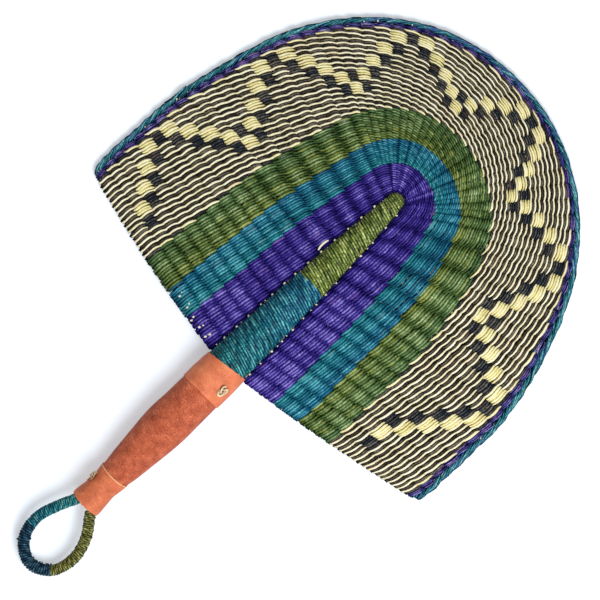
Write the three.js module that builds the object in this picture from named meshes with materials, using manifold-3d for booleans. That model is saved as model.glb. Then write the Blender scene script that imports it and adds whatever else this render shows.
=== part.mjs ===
// Woven straw hand fan: a wound spine, a blade of ribbed weft over straws, a leather grip, a hanging loop.
// Y runs up the fan from the foot of the blade and Z up from the table under it. Sizes are in millimetres.
import * as THREE from 'three';
import { mergeVertices } from 'three/addons/utils/BufferGeometryUtils.js';
import Module from 'manifold-3d';

const wasm = await Module();
wasm.setup();

// Outline of the blade
const BLADE_WIDTH = 318;
const CORNER_RISE = 27.5; // height of the lower corners above the foot
const SHOULDER_RISE = 85; // where the upright sides turn into the crown
const CROWN_HEIGHT = 193.4; // from the shoulders to the top
const CROWN_FULLNESS = 2.08; // exponent of the crown's curve: 2 is an ellipse and more is squarer
const FOOT_SAG = 2; // how far the lower edge bows down
const RIM_DRIFT = 0.2; // hand spacing: how much closer the straws stand at the left

// Woven bands, measured along a side straw from the spine out
const PURPLE_WIDTH = 23;
const TEAL_WIDTH = 24.5;
const GREEN_WIDTH = 24.5;
const PATTERNED_WIDTH = 64;
const RIM_PURPLE_WIDTH = 4.4;
const RIM_TEAL_WIDTH = 3.6;
const RIB_THICKNESS = 4.8;
const VALLEY_THICKNESS = 2.7;

// Rim: its thickness at the outermost row, and how it falls off in the notches and at the edge
const RIM_THICKNESS = 5.2;
const RIM_NOTCH = 0.8;
const RIM_EDGE_DROP = 0.6;
const RIM_TWIST = 0.35; // slant of the outermost row's turns, in shares of a turn

// Straws
const STRAW_WIDTH = 1.6;
const STRAW_HEIGHT = 1.8;
const TIP_STRAW_WIDTH = 1.3;
const FIT = 0.3; // gap between pieces that touch on the real fan
const STRAW_SETBACK = 0.5; // how far the straws end inside the patterned band

// Holes through the spine: one straw each low down, two side by side further up
const FIRST_HOLE = 5.8;
const SINGLE_HOLES = 9;
const SINGLE_PITCH = 10.9;
const PAIR_HOLES = 5;
const PAIR_PITCH = 12.3;
const PAIR_SPACING = 2.1;
const HOLE_TO_TIP = 5.7; // from the last hole to the centre of the rounded tip

// Straws that splay from the tip in bundles
const TIP_BUNDLES = 5;
const STRAWS_PER_BUNDLE = 5;
const BUNDLE_SPACING = 0.32; // between neighbouring straws where a bundle leaves the tip

// Spine and its windings
const SPINE_RADIUS_FOOT = 15;
const SPINE_RADIUS_MIDDLE = 11.7;
const SPINE_RADIUS_TIP = 6.35;
const COLOUR_CHANGE_HOLE = 7; // hole at which the teal strand gives way to the green one
const STRAND_WIDTH = 2.3;
const STRAND_THICKNESS = 1.7;
const STRAND_SHOULDER = 1.1; // thickness at the strand's edges
const STRAND_CLEARANCE = 0.35; // between a strand and a straw that it passes
const TURNS_PER_STRETCH = 3; // turns between one hole and the next
const TURN_STEPS = 12;

// Handle, from the foot of the blade down: lengths, and radii at shares of each length
const UPPER_COLLAR_LENGTH = 25;
const GRIP_LENGTH = 81.5;
const LOWER_COLLAR_LENGTH = 28.2;
const LEATHER = 1.4;
const LEATHER_SIDES = 24;
const UPPER_COLLAR_RADII = [[0, 15.5], [0.5, 16.25], [1, 15.85]];
const GRIP_RADII = [[0, 15.75], [0.35, 16.25], [0.6, 14.8], [0.77, 13.35], [0.9, 12], [1, 11]];
const LOWER_COLLAR_RADII = [[0, 11.2], [0.42, 10], [0.93, 11.65], [1, 11.4]];
const CORE_IN_LOWER_COLLAR = 18;

// Hanging loop: the centre line of its straw bundle, across and up from the mouth of the lower collar. Its
// two ends stop short of the core bundle.
const LOOP_CORE_RADIUS = 2.2;
const LOOP_RADIUS = 4.1;
const LOOP_WINDING_START = 3.5; // how far outside the mouth the winding starts
const LOOP_ENDS = [-4.6, 4.8];
const LOOP_ROUTE = [
  [-4.9, 5.1], [-6.6, -0.9], [-12.2, -13.9], [-16.2, -29.4], [-11.8, -45.9], [3, -54.6],
  [17.3, -46.4], [21.3, -29.4], [16.6, -13.9], [7.2, -0.9], [5, 5.1],
];
const LOOP_DROOP = 8.5; // how much lower its far end lies than the butt
const LOOP_TEAL_SHARE = 0.68; // share of the wound length that is teal
const LOOP_TEAL_TURNS = 22;
const LOOP_GREEN_TURNS = 10;
const LOOP_STRAND_GAP = 0.75;
const LOOP_STEPS = 8;
const LOOP_CORE_STEPS = 32;

// Straw knots on the collars: where they sit, measured across and down from the top of their collar
const KNOT_RADIUS = 1.7;
const KNOT_STRAW_RADIUS = 0.5;
const KNOT_SEAT = 0.6;
const KNOT_FLATNESS = 0.6;
const UPPER_KNOT = { across: 10.2, down: 14.1 };
const LOWER_KNOT = { across: -8.6, down: 10.9 };

// Sizes that follow from those above
const HALF_WIDTH = BLADE_WIDTH / 2;
const AXIS_HEIGHT = Math.max(...UPPER_COLLAR_RADII.map((r) => r[1]), ...GRIP_RADII.map((r) => r[1]));
const RIM_HEIGHT = RIM_THICKNESS / 2;
const BAND_WIDTHS = [
  PURPLE_WIDTH, TEAL_WIDTH, GREEN_WIDTH, PATTERNED_WIDTH, RIM_PURPLE_WIDTH, RIM_TEAL_WIDTH,
];
const BLADE_REACH = BAND_WIDTHS.reduce((sum, width) => sum + width, 0);
const BAND_EDGES = [0];
for (const width of BAND_WIDTHS) BAND_EDGES.push(BAND_EDGES.at(-1) + width / BLADE_REACH);
const [, PURPLE_EDGE, TEAL_EDGE, GREEN_EDGE, PATTERN_EDGE, RIM_EDGE] = BAND_EDGES;

const HOLES = SINGLE_HOLES + PAIR_HOLES;
const LAST_SINGLE = FIRST_HOLE + SINGLE_PITCH * (SINGLE_HOLES - 1);
const LAST_HOLE = LAST_SINGLE + PAIR_PITCH * PAIR_HOLES;
const TIP_CENTRE = LAST_HOLE + HOLE_TO_TIP;
const SIDE_STRAWS = SINGLE_HOLES + 2 * PAIR_HOLES;
const TIP_STRAWS = TIP_BUNDLES * STRAWS_PER_BUNDLE;
const TIP_END = SIDE_STRAWS + TIP_STRAWS;
const STRAWS = TIP_END + SIDE_STRAWS;
const CORE_INSET = STRAND_THICKNESS + FIT;
const NOSE_RADIUS = SPINE_RADIUS_TIP - FIT;

const UPPER_COLLAR_TOP = -FIT;
const GRIP_TOP = UPPER_COLLAR_TOP - UPPER_COLLAR_LENGTH - FIT;
const LOWER_COLLAR_TOP = GRIP_TOP - GRIP_LENGTH - FIT;
const CORE_END = LOWER_COLLAR_TOP - CORE_IN_LOWER_COLLAR;
const MOUTH = LOWER_COLLAR_TOP - LOWER_COLLAR_LENGTH;
const LOOP_START = CORE_END - FIT;
const LOOP_BARE_END = LOOP_START - MOUTH + LOOP_WINDING_START; // length without winding, at each end

const UP = new THREE.Vector3(0, 0, 1);

// Materials
function finish(colour, roughness) {
  return new THREE.MeshStandardMaterial({ color: colour, roughness, metalness: 0 });
}
const STRAW = finish(0xd8c48c, 0.7);
const PURPLE = finish(0x3b2478, 0.6);
const TEAL = finish(0x1c7284, 0.6);
const GREEN = finish(0x5f7427, 0.6);
const PATTERNED = finish(0x8c815f, 0.6);
const ORANGE_LEATHER = finish(0xd9653a, 0.55);
const TERRACOTTA_LEATHER = finish(0xb5492f, 0.55);

const fan = new THREE.Group();
function add(name, geometry, material) {
  const mesh = new THREE.Mesh(geometry, material);
  mesh.name = name;
  fan.add(mesh);
  return mesh;
}

// A closed solid put together from points and faces. Its faces are given in one sense all over, and all
// are turned round at the end if that sense proves to point inwards.
class Solid {
  constructor() {
    this.points = [];
    this.faces = [];
  }

  point(v) {
    this.points.push(v.x, v.y, v.z);
    return this.points.length / 3 - 1;
  }

  face(a, b, c) {
    this.faces.push(a, b, c);
  }

  quad(a, b, c, d) {
    this.face(a, b, c);
    this.face(a, c, d);
  }

  geometry() {
    const corner = (i) => new THREE.Vector3().fromArray(this.points, 3 * i);
    let volume = 0;
    for (let i = 0; i < this.faces.length; i += 3) {
      const [a, b, c] = this.faces.slice(i, i + 3).map(corner);
      volume += a.dot(b.cross(c));
    }
    const faces = volume < 0 ? [...this.faces].reverse() : this.faces;
    const geometry = new THREE.BufferGeometry();
    geometry.setAttribute('position', new THREE.Float32BufferAttribute(this.points, 3));
    geometry.setIndex(faces);
    geometry.computeVertexNormals();
    return geometry;
  }
}

// A tube through rings of points, with a flat face at each end
function skinOver(rings) {
  const solid = new Solid();
  const indices = rings.map((ring) => ring.map((v) => solid.point(v)));
  const [first, last] = [indices[0], indices.at(-1)];
  for (let i = 1; i < first.length - 1; i++) {
    solid.face(first[0], first[i + 1], first[i]);
    solid.face(last[0], last[i], last[i + 1]);
  }
  for (let k = 1; k < indices.length; k++) {
    const [near, far] = [indices[k - 1], indices[k]];
    near.forEach((a, i) => {
      const next = (i + 1) % near.length;
      solid.quad(a, near[next], far[next], far[i]);
    });
  }
  return solid.geometry();
}

function offset(base, ...moves) {
  const v = base.clone();
  for (const [direction, distance] of moves) v.addScaledVector(direction, distance);
  return v;
}

// Closed geometries as solids that can be joined and cut
function toManifold(geometry) {
  const bare = geometry.index ? geometry.toNonIndexed() : geometry.clone();
  for (const name of Object.keys(bare.attributes)) {
    if (name !== 'position') bare.deleteAttribute(name);
  }
  const merged = mergeVertices(bare, 1e-4);
  const triVerts = [];
  for (let i = 0; i < merged.index.count; i += 3) {
    const [a, b, c] = [0, 1, 2].map((k) => merged.index.getX(i + k));
    if (a !== b && b !== c && c !== a) triVerts.push(a, b, c);
  }
  return new wasm.Manifold(new wasm.Mesh({
    numProp: 3,
    vertProperties: merged.attributes.position.array,
    triVerts: new Uint32Array(triVerts),
  }));
}

function fromManifold(solid) {
  const mesh = solid.getMesh();
  const geometry = new THREE.BufferGeometry();
  geometry.setAttribute('position', new THREE.Float32BufferAttribute(mesh.vertProperties, 3));
  geometry.setIndex([...mesh.triVerts]);
  geometry.computeVertexNormals();
  return geometry;
}

// The curve over the blade from shoulder to shoulder, a little fuller than half an ellipse
class Crown extends THREE.Curve {
  getPoint(share) {
    const angle = Math.PI * (1 - share);
    const bent = (value) => Math.sign(value) * Math.abs(value) ** (2 / CROWN_FULLNESS);
    const x = HALF_WIDTH * bent(Math.cos(angle));
    return new THREE.Vector2(x, SHOULDER_RISE + CROWN_HEIGHT * bent(Math.sin(angle)));
  }
}

// The blade's outline from the left corner over the crown to the right corner
const outline = new THREE.CurvePath();
outline.add(new THREE.LineCurve(
  new THREE.Vector2(-HALF_WIDTH, CORNER_RISE),
  new THREE.Vector2(-HALF_WIDTH, SHOULDER_RISE),
));
outline.add(new Crown());
outline.add(new THREE.LineCurve(
  new THREE.Vector2(HALF_WIDTH, SHOULDER_RISE),
  new THREE.Vector2(HALF_WIDTH, CORNER_RISE),
));

// Where straw i meets the rim. The weaver's spacing drifts from close at the left to open at the right.
function rimPoint(i) {
  const share = (i + 0.5) / STRAWS;
  const drifted = share - RIM_DRIFT * share * (1 - share) ** 2;
  const { x, y } = outline.getPoint(drifted);
  return new THREE.Vector3(x, y, RIM_HEIGHT);
}

function holeHeight(hole) {
  if (hole < SINGLE_HOLES) return FIRST_HOLE + SINGLE_PITCH * hole;
  return LAST_SINGLE + PAIR_PITCH * (hole - SINGLE_HOLES + 1);
}

// Half the height of the straws in a hole
function strawsHalfSpan(hole) {
  return (hole < SINGLE_HOLES ? 0 : PAIR_SPACING / 2) + STRAW_WIDTH / 2;
}

// Radius of the wound spine at a height above the foot, a smooth curve through its three measured radii
function spineRadius(y) {
  const middle = holeHeight(COLOUR_CHANGE_HOLE);
  const byFoot = SPINE_RADIUS_FOOT * (y - middle) * (y - TIP_CENTRE) / (middle * TIP_CENTRE);
  const byMiddle = SPINE_RADIUS_MIDDLE * y * (TIP_CENTRE - y) / (middle * (TIP_CENTRE - middle));
  const byTip = SPINE_RADIUS_TIP * y * (y - middle) / (TIP_CENTRE * (TIP_CENTRE - middle));
  return byFoot + byMiddle + byTip;
}

// Height at which side straw k, counted from the foot, leaves the spine
function exitHeight(k) {
  if (k < SINGLE_HOLES) return holeHeight(k);
  const second = (k - SINGLE_HOLES) % 2;
  const hole = SINGLE_HOLES + Math.floor((k - SINGLE_HOLES) / 2);
  return holeHeight(hole) + (second - 0.5) * PAIR_SPACING;
}

function aroundTip(angle, radius) {
  return new THREE.Vector3(
    radius * Math.cos(angle), TIP_CENTRE + radius * Math.sin(angle), AXIS_HEIGHT,
  );
}

function isTipStraw(i) {
  return i >= SIDE_STRAWS && i < TIP_END;
}

// Where straw i leaves the spine: a side straw at its hole, a tip straw spread evenly round the tip
function rootPoint(i) {
  if (isTipStraw(i)) {
    const angle = Math.PI * (1 - (i - SIDE_STRAWS + 0.5) / TIP_STRAWS);
    return aroundTip(angle, SPINE_RADIUS_TIP + FIT);
  }
  const left = i < SIDE_STRAWS;
  const y = exitHeight(left ? i : STRAWS - 1 - i);
  return new THREE.Vector3((left ? -1 : 1) * (spineRadius(y) + FIT), y, AXIS_HEIGHT);
}

// Each straw's line, its length, and the direction across it towards the next straw round the fan
const straws = [];
for (let i = 0; i < STRAWS; i++) {
  const root = rootPoint(i);
  const end = rimPoint(i);
  const along = new THREE.Vector3(end.x - root.x, end.y - root.y, 0);
  const length = along.length();
  along.divideScalar(length);
  const across = new THREE.Vector3(along.y, -along.x, 0);
  const width = isTipStraw(i) ? TIP_STRAW_WIDTH : STRAW_WIDTH;
  straws.push({ root, end, length, across, width });
}

// Tip straws leave the spine squeezed together in bundles, and lie on their own lines from the purple edge
for (let i = SIDE_STRAWS; i < TIP_END; i++) {
  const bundle = Math.floor((i - SIDE_STRAWS) / STRAWS_PER_BUNDLE);
  const place = (i - SIDE_STRAWS) % STRAWS_PER_BUNDLE - (STRAWS_PER_BUNDLE - 1) / 2;
  const angle = Math.PI * (1 - (bundle + 0.5) / TIP_BUNDLES);
  const across = new THREE.Vector3(Math.sin(angle), -Math.cos(angle), 0);
  straws[i].bundleAcross = across;
  straws[i].bundled = offset(aroundTip(angle, SPINE_RADIUS_TIP + FIT), [across, place * BUNDLE_SPACING]);
  straws[i].anchor = offset(aroundTip(angle, NOSE_RADIUS * 0.6), [across, place * BUNDLE_SPACING]);
}

// Point on straw i's centre line at a share of its way from spine to rim
function strawPoint(i, share) {
  const { root, end, bundled } = straws[i];
  if (!bundled || share >= PURPLE_EDGE) return root.clone().lerp(end, share);
  const parted = root.clone().lerp(end, PURPLE_EDGE);
  return bundled.clone().lerp(parted, share / PURPLE_EDGE);
}

function strawAcross(i, share) {
  const { across, bundleAcross } = straws[i];
  if (!bundleAcross || share >= PURPLE_EDGE) return across;
  return bundleAcross.clone().lerp(across, share / PURPLE_EDGE).normalize();
}

// Share of straw i that is half a gap before (-1) or after (+1) a band edge
function besideEdge(i, edge, side) {
  if (edge === 0 || edge === 1) return edge;
  return edge + side * FIT / 2 / straws[i].length;
}

function strawEnd(i) {
  return besideEdge(i, PATTERN_EDGE, -1) - STRAW_SETBACK / straws[i].length;
}

function bladeHeight(share) {
  return THREE.MathUtils.lerp(AXIS_HEIGHT, RIM_HEIGHT, share);
}

// Point on the blade's lower edge, at the left (-1) or right (+1)
function footPoint(side, share) {
  const root = new THREE.Vector3(side * (SPINE_RADIUS_FOOT + FIT), FIT, AXIS_HEIGHT);
  const corner = new THREE.Vector3(side * HALF_WIDTH, CORNER_RISE, RIM_HEIGHT);
  const v = root.lerp(corner, share);
  v.y -= FOOT_SAG * 4 * share * (1 - share);
  return v;
}

// Middle between two neighbouring straws, or the lower edge beyond the outermost ones
function valleyPoint(before, after, edge, side) {
  if (before === undefined) return footPoint(-1, besideEdge(0, edge, side));
  if (after === undefined) return footPoint(1, besideEdge(STRAWS - 1, edge, side));
  const v = strawPoint(before, besideEdge(before, edge, side));
  return v.add(strawPoint(after, besideEdge(after, edge, side))).multiplyScalar(0.5);
}

// Ribs of a band, each the list of straws that it covers: sizes are counts of straws, used in turn
function ribsOver(from, to, sizes) {
  const ribs = [];
  let i = from;
  while (i < to) {
    const size = Math.min(sizes[ribs.length % sizes.length], to - i);
    ribs.push(Array.from({ length: size }, (_, k) => i + k));
    i += size;
  }
  return ribs;
}

function ribsWith(tipSizes) {
  return [
    ...ribsOver(0, SINGLE_HOLES, [1]),
    ...ribsOver(SINGLE_HOLES, SIDE_STRAWS, [2]),
    ...ribsOver(SIDE_STRAWS, TIP_END, tipSizes),
    ...ribsOver(TIP_END, STRAWS - SINGLE_HOLES, [2]),
    ...ribsOver(STRAWS - SINGLE_HOLES, STRAWS, [1]),
  ];
}

// One end of a band: the points of its valleys, of its crests and of the tunnels for the straws
function weftEnd(solid, edge, side, ribs) {
  const pair = (v, half) => ({
    front: solid.point(offset(v, [UP, half])),
    back: solid.point(offset(v, [UP, -half])),
  });
  const middles = [];
  for (let k = 0; k <= ribs.length; k++) {
    middles.push(valleyPoint(ribs[k - 1]?.at(-1), ribs[k]?.[0], edge, side));
  }
  // Side of a straw's tunnel, on the edge line between the straw and the valley
  const beside = (i, away, valley) => {
    const share = besideEdge(i, edge, side);
    const centre = strawPoint(i, share);
    const across = strawAcross(i, share);
    const along = new THREE.Vector3(-across.y, across.x, 0);
    const toValley = valley.clone().sub(centre);
    const lean = toValley.dot(along) / toValley.dot(across);
    const distance = away * (straws[i].width / 2 + FIT);
    return offset(centre, [across, distance], [along, distance * lean]);
  };
  const cells = ribs.map((rib, k) => {
    const crowns = rib.length === 1 ? rib : [rib[0], rib.at(-1)];
    return {
      crests: crowns.map((i) => pair(strawPoint(i, besideEdge(i, edge, side)), RIB_THICKNESS / 2)),
      left: pair(beside(rib[0], -1, middles[k]), STRAW_HEIGHT / 2 + FIT),
      right: pair(beside(rib.at(-1), 1, middles[k + 1]), STRAW_HEIGHT / 2 + FIT),
    };
  });
  return { valleys: middles.map((v) => pair(v, VALLEY_THICKNESS / 2)), cells };
}

// A band of weft as one ribbed solid, with a tunnel through each rib for its straws
function weft(innerEdge, outerEdge, ribs) {
  const solid = new Solid();
  const inner = weftEnd(solid, innerEdge, 1, ribs);
  const outer = weftEnd(solid, outerEdge, -1, ribs);

  const closeEnd = ({ valleys, cells }, turned) => {
    const face = (a, b, c) => (turned ? solid.face(a, c, b) : solid.face(a, b, c));
    cells.forEach(({ crests, left, right }, k) => {
      const [before, after] = [valleys[k], valleys[k + 1]];
      const [first, last] = [crests[0], crests.at(-1)];
      face(before.front, first.front, left.front);
      face(first.back, before.back, left.back);
      if (first !== last) {
        face(first.front, last.front, left.front);
        face(last.back, first.back, left.back);
      }
      face(last.front, right.front, left.front);
      face(right.back, last.back, left.back);
      face(last.front, after.front, right.front);
      face(after.back, last.back, right.back);
      face(before.front, left.front, left.back);
      face(before.front, left.back, before.back);
      face(after.front, right.back, right.front);
      face(after.front, after.back, right.back);
    });
  };
  closeEnd(inner, false);
  closeEnd(outer, true);

  ribs.forEach((rib, k) => {
    const path = (end) => [end.valleys[k], ...end.cells[k].crests, end.valleys[k + 1]];
    const [near, far] = [path(inner), path(outer)];
    for (let i = 1; i < near.length; i++) {
      solid.quad(near[i].front, near[i - 1].front, far[i - 1].front, far[i].front);
      solid.quad(near[i - 1].back, near[i].back, far[i].back, far[i - 1].back);
    }
    const [a, b] = [inner.cells[k], outer.cells[k]];
    solid.quad(a.left.front, a.right.front, b.right.front, b.left.front);
    solid.quad(a.right.front, a.right.back, b.right.back, b.right.front);
    solid.quad(a.right.back, a.left.back, b.left.back, b.right.back);
    solid.quad(a.left.back, a.left.front, b.left.front, b.left.back);
  });
  const [a, b] = [inner.valleys[0], outer.valleys[0]];
  solid.quad(a.front, a.back, b.back, b.front);
  const [c, d] = [inner.valleys.at(-1), outer.valleys.at(-1)];
  solid.quad(c.back, c.front, d.front, d.back);
  return solid.geometry();
}

add('weft_purple', weft(0, PURPLE_EDGE, ribsWith([STRAWS_PER_BUNDLE])), PURPLE);
add('weft_teal', weft(PURPLE_EDGE, TEAL_EDGE, ribsWith([2, 1, 2])), TEAL);
add('weft_green', weft(TEAL_EDGE, GREEN_EDGE, ribsWith([1])), GREEN);
add('weft_patterned', weft(GREEN_EDGE, PATTERN_EDGE, ribsOver(0, STRAWS, [1])), PATTERNED);

// A row of turns along the rim, flat underneath, one turn to a straw. Heights are above the table, and the
// slant is how far a turn's crest leans along the rim.
function edging(innerEdge, outerEdge, innerHeights, outerHeights, slant) {
  const solid = new Solid();
  const endOf = (edge, side, { under, notch, crest }, lean) => {
    const at = (v, z) => solid.point(new THREE.Vector3(v.x, v.y, z));
    const middles = [];
    for (let i = 0; i <= STRAWS; i++) {
      const [before, after] = [i > 0 ? i - 1 : undefined, i < STRAWS ? i : undefined];
      middles.push(valleyPoint(before, after, edge, side));
    }
    return {
      under: middles.map((v) => at(v, under)),
      notches: middles.map((v) => at(v, notch)),
      crests: middles.slice(1).map((v, i) => {
        const bulge = strawPoint(i, besideEdge(i, edge, side)).sub(middles[i].clone().lerp(v, 0.5));
        return at(middles[i].clone().lerp(v, 0.5 + lean).add(bulge), crest);
      }),
    };
  };
  const inner = endOf(innerEdge, 1, innerHeights, 0);
  const outer = endOf(outerEdge, -1, outerHeights, slant);
  for (let i = 0; i < STRAWS; i++) {
    solid.face(inner.under[i], inner.notches[i], inner.crests[i]);
    solid.face(inner.under[i], inner.crests[i], inner.notches[i + 1]);
    solid.face(inner.under[i], inner.notches[i + 1], inner.under[i + 1]);
    solid.face(outer.under[i], outer.crests[i], outer.notches[i]);
    solid.face(outer.under[i], outer.notches[i + 1], outer.crests[i]);
    solid.face(outer.under[i], outer.under[i + 1], outer.notches[i + 1]);
    solid.quad(inner.crests[i], inner.notches[i], outer.notches[i], outer.crests[i]);
    solid.quad(inner.notches[i + 1], inner.crests[i], outer.crests[i], outer.notches[i + 1]);
    solid.quad(inner.under[i], inner.under[i + 1], outer.under[i + 1], outer.under[i]);
  }
  solid.quad(inner.notches[0], inner.under[0], outer.under[0], outer.notches[0]);
  solid.quad(inner.under[STRAWS], inner.notches[STRAWS], outer.notches[STRAWS], outer.under[STRAWS]);
  return solid.geometry();
}

function purpleHeights(edge) {
  const middle = bladeHeight(edge);
  const crest = middle + RIB_THICKNESS / 2;
  return { under: middle - RIB_THICKNESS / 2, notch: crest - RIM_NOTCH, crest };
}

function tealHeights(drop) {
  const crest = RIM_THICKNESS - drop;
  return { under: 0, notch: crest - RIM_NOTCH, crest };
}

add('rim_purple', edging(
  PATTERN_EDGE, RIM_EDGE, purpleHeights(PATTERN_EDGE), purpleHeights(RIM_EDGE), 0,
), PURPLE);
add('rim_teal', edging(RIM_EDGE, 1, tealHeights(0), tealHeights(RIM_EDGE_DROP), RIM_TWIST), TEAL);

// A straw through the spine, with an arm in each half of the blade
function crossingStraw(k) {
  const section = (i, share, upward) => {
    const v = strawPoint(i, share);
    return [[1, 1], [1, -1], [-1, -1], [-1, 1]].map(([a, b]) => offset(
      v, [straws[i].across, a * upward * STRAW_WIDTH / 2], [UP, b * STRAW_HEIGHT / 2],
    ));
  };
  const [left, right] = [k, STRAWS - 1 - k];
  return skinOver([
    section(left, strawEnd(left), 1),
    section(left, 0, 1),
    section(right, 0, -1),
    section(right, strawEnd(right), -1),
  ]);
}

for (let k = 0; k < SIDE_STRAWS; k++) {
  add(`stake_${String(k + 1).padStart(2, '0')}`, crossingStraw(k), STRAW);
}

// One bundle of tip straws as a flat comb: a stem from inside the spine that parts into straight straws
function combOf(bundle) {
  const solid = new Solid();
  const members = Array.from({ length: STRAWS_PER_BUNDLE }, (_, k) => (
    SIDE_STRAWS + bundle * STRAWS_PER_BUNDLE + k
  ));
  const edgeOf = (i, v, across, away) => offset(v, [across, away * TIP_STRAW_WIDTH / 2]);
  const [first, last] = [members[0], members.at(-1)].map((i) => straws[i]);
  const corners = [
    edgeOf(0, first.anchor, first.bundleAcross, -1),
    edgeOf(0, first.bundled, first.bundleAcross, -1),
  ];
  for (const i of members) {
    const end = strawEnd(i);
    corners.push(
      edgeOf(i, strawPoint(i, PURPLE_EDGE), straws[i].across, -1),
      edgeOf(i, strawPoint(i, end), straws[i].across, -1),
      edgeOf(i, strawPoint(i, end), straws[i].across, 1),
      edgeOf(i, strawPoint(i, PURPLE_EDGE), straws[i].across, 1),
    );
  }
  corners.push(
    edgeOf(0, last.bundled, last.bundleAcross, 1),
    edgeOf(0, last.anchor, last.bundleAcross, 1),
  );
  const front = corners.map((v) => solid.point(offset(v, [UP, STRAW_HEIGHT / 2])));
  const back = corners.map((v) => solid.point(offset(v, [UP, -STRAW_HEIGHT / 2])));
  const both = (...ring) => {
    for (let k = 2; k < ring.length; k++) {
      solid.face(front[ring[0]], front[ring[k - 1]], front[ring[k]]);
      solid.face(back[ring[0]], back[ring[k]], back[ring[k - 1]]);
    }
  };
  const lastCorner = corners.length - 1;
  const parting = members.flatMap((_, k) => [2 + 4 * k, 5 + 4 * k]);
  both(0, lastCorner, lastCorner - 1, 1);
  both(1, lastCorner - 1, parting.at(-1));
  for (let k = 1; k < parting.length; k++) both(1, parting[k], parting[k - 1]);
  for (let k = 0; k < members.length; k++) both(2 + 4 * k, 5 + 4 * k, 4 + 4 * k, 3 + 4 * k);
  corners.forEach((_, k) => {
    const next = (k + 1) % corners.length;
    solid.quad(front[k], front[next], back[next], back[k]);
  });
  return solid.geometry();
}

// Turned pieces, all about the fan's own axis: profiles are radii and heights, from the bottom up
function turned(profile, sides) {
  const geometry = new THREE.LatheGeometry(profile.map(([r, y]) => new THREE.Vector2(r, y)), sides);
  return geometry.translate(0, 0, AXIS_HEIGHT);
}

function radiusAt(radii, share) {
  const k = Math.max(1, radii.findIndex((r) => r[0] >= share));
  const [[s0, r0], [s1, r1]] = [radii[k - 1], radii[k]];
  return THREE.MathUtils.mapLinear(share, s0, s1, r0, r1);
}

function leatherTube(top, length, radii) {
  const outer = radii.map(([share, radius]) => [radius, top - share * length]).reverse();
  const inner = radii.map(([share, radius]) => [radius - LEATHER, top - share * length]);
  return turned([...outer, ...inner, outer[0]], LEATHER_SIDES);
}

add('collar_upper', leatherTube(UPPER_COLLAR_TOP, UPPER_COLLAR_LENGTH, UPPER_COLLAR_RADII), ORANGE_LEATHER);
add('grip_leather', leatherTube(GRIP_TOP, GRIP_LENGTH, GRIP_RADII), TERRACOTTA_LEATHER);
const lowerCollar = leatherTube(LOWER_COLLAR_TOP, LOWER_COLLAR_LENGTH, LOWER_COLLAR_RADII);
add('collar_lower', lowerCollar, ORANGE_LEATHER);

// The bundle of straws inside grip and spine, with its holes and the straws that splay from its tip
function coreProfile() {
  const insideOf = (radius) => (radius - LEATHER) * Math.cos(Math.PI / LEATHER_SIDES) - FIT;
  const inside = (top, length, radii) => radii
    .map(([share, radius]) => [insideOf(radius), top - share * length])
    .reverse();
  const buttShare = CORE_IN_LOWER_COLLAR / LOWER_COLLAR_LENGTH;
  const buttRadii = [
    ...LOWER_COLLAR_RADII.filter(([share]) => share < buttShare),
    [buttShare, radiusAt(LOWER_COLLAR_RADII, buttShare)],
  ];
  const spineHeights = [FIT, 0.25 * TIP_CENTRE, 0.5 * TIP_CENTRE, 0.75 * TIP_CENTRE, TIP_CENTRE - 2.5 * FIT];
  return [
    [0, CORE_END],
    ...inside(LOWER_COLLAR_TOP, LOWER_COLLAR_LENGTH, buttRadii),
    ...inside(GRIP_TOP, GRIP_LENGTH, GRIP_RADII),
    ...inside(UPPER_COLLAR_TOP, UPPER_COLLAR_LENGTH, UPPER_COLLAR_RADII),
    ...spineHeights.map((y) => [spineRadius(y) - CORE_INSET, y]),
    ...[0, 30, 60, 90].map(THREE.MathUtils.degToRad)
      .map((a) => [NOSE_RADIUS * Math.cos(a), TIP_CENTRE + NOSE_RADIUS * Math.sin(a)]),
  ];
}

let core = toManifold(turned(coreProfile(), TURN_STEPS));
for (let hole = 0; hole < HOLES; hole++) {
  const span = 2 * (strawsHalfSpan(hole) + FIT);
  const box = new THREE.BoxGeometry(3 * SPINE_RADIUS_FOOT, span, STRAW_HEIGHT + 2 * FIT);
  core = core.subtract(toManifold(box.translate(0, holeHeight(hole), AXIS_HEIGHT)));
}
for (let bundle = 0; bundle < TIP_BUNDLES; bundle++) core = core.add(toManifold(combOf(bundle)));
add('core_bundle', fromManifold(core), STRAW);

// Windings. Each is one strand, given as rings of points, and its turns never touch.
function winding(name, rings, steps, material) {
  let least = Infinity;
  for (let i = 0; i < rings.length; i++) {
    for (let j = i + steps / 2; j < Math.min(rings.length, i + 1.5 * steps); j++) {
      for (const a of rings[i]) {
        for (const b of rings[j]) least = Math.min(least, a.distanceTo(b));
      }
    }
  }
  console.log(`${name}: least gap between turns ${least.toFixed(2)} mm`);
  return add(name, skinOver(rings), material);
}

// Heights of the turns between one hole and the next
function turnsAfter(hole) {
  const away = (h) => strawsHalfSpan(h) + STRAND_CLEARANCE + STRAND_WIDTH / 2;
  const [from, to] = [holeHeight(hole) + away(hole), holeHeight(hole + 1) - away(hole + 1)];
  return Array.from({ length: TURNS_PER_STRETCH }, (_, i) => (
    THREE.MathUtils.lerp(from, to, i / (TURNS_PER_STRETCH - 1))
  ));
}

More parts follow.
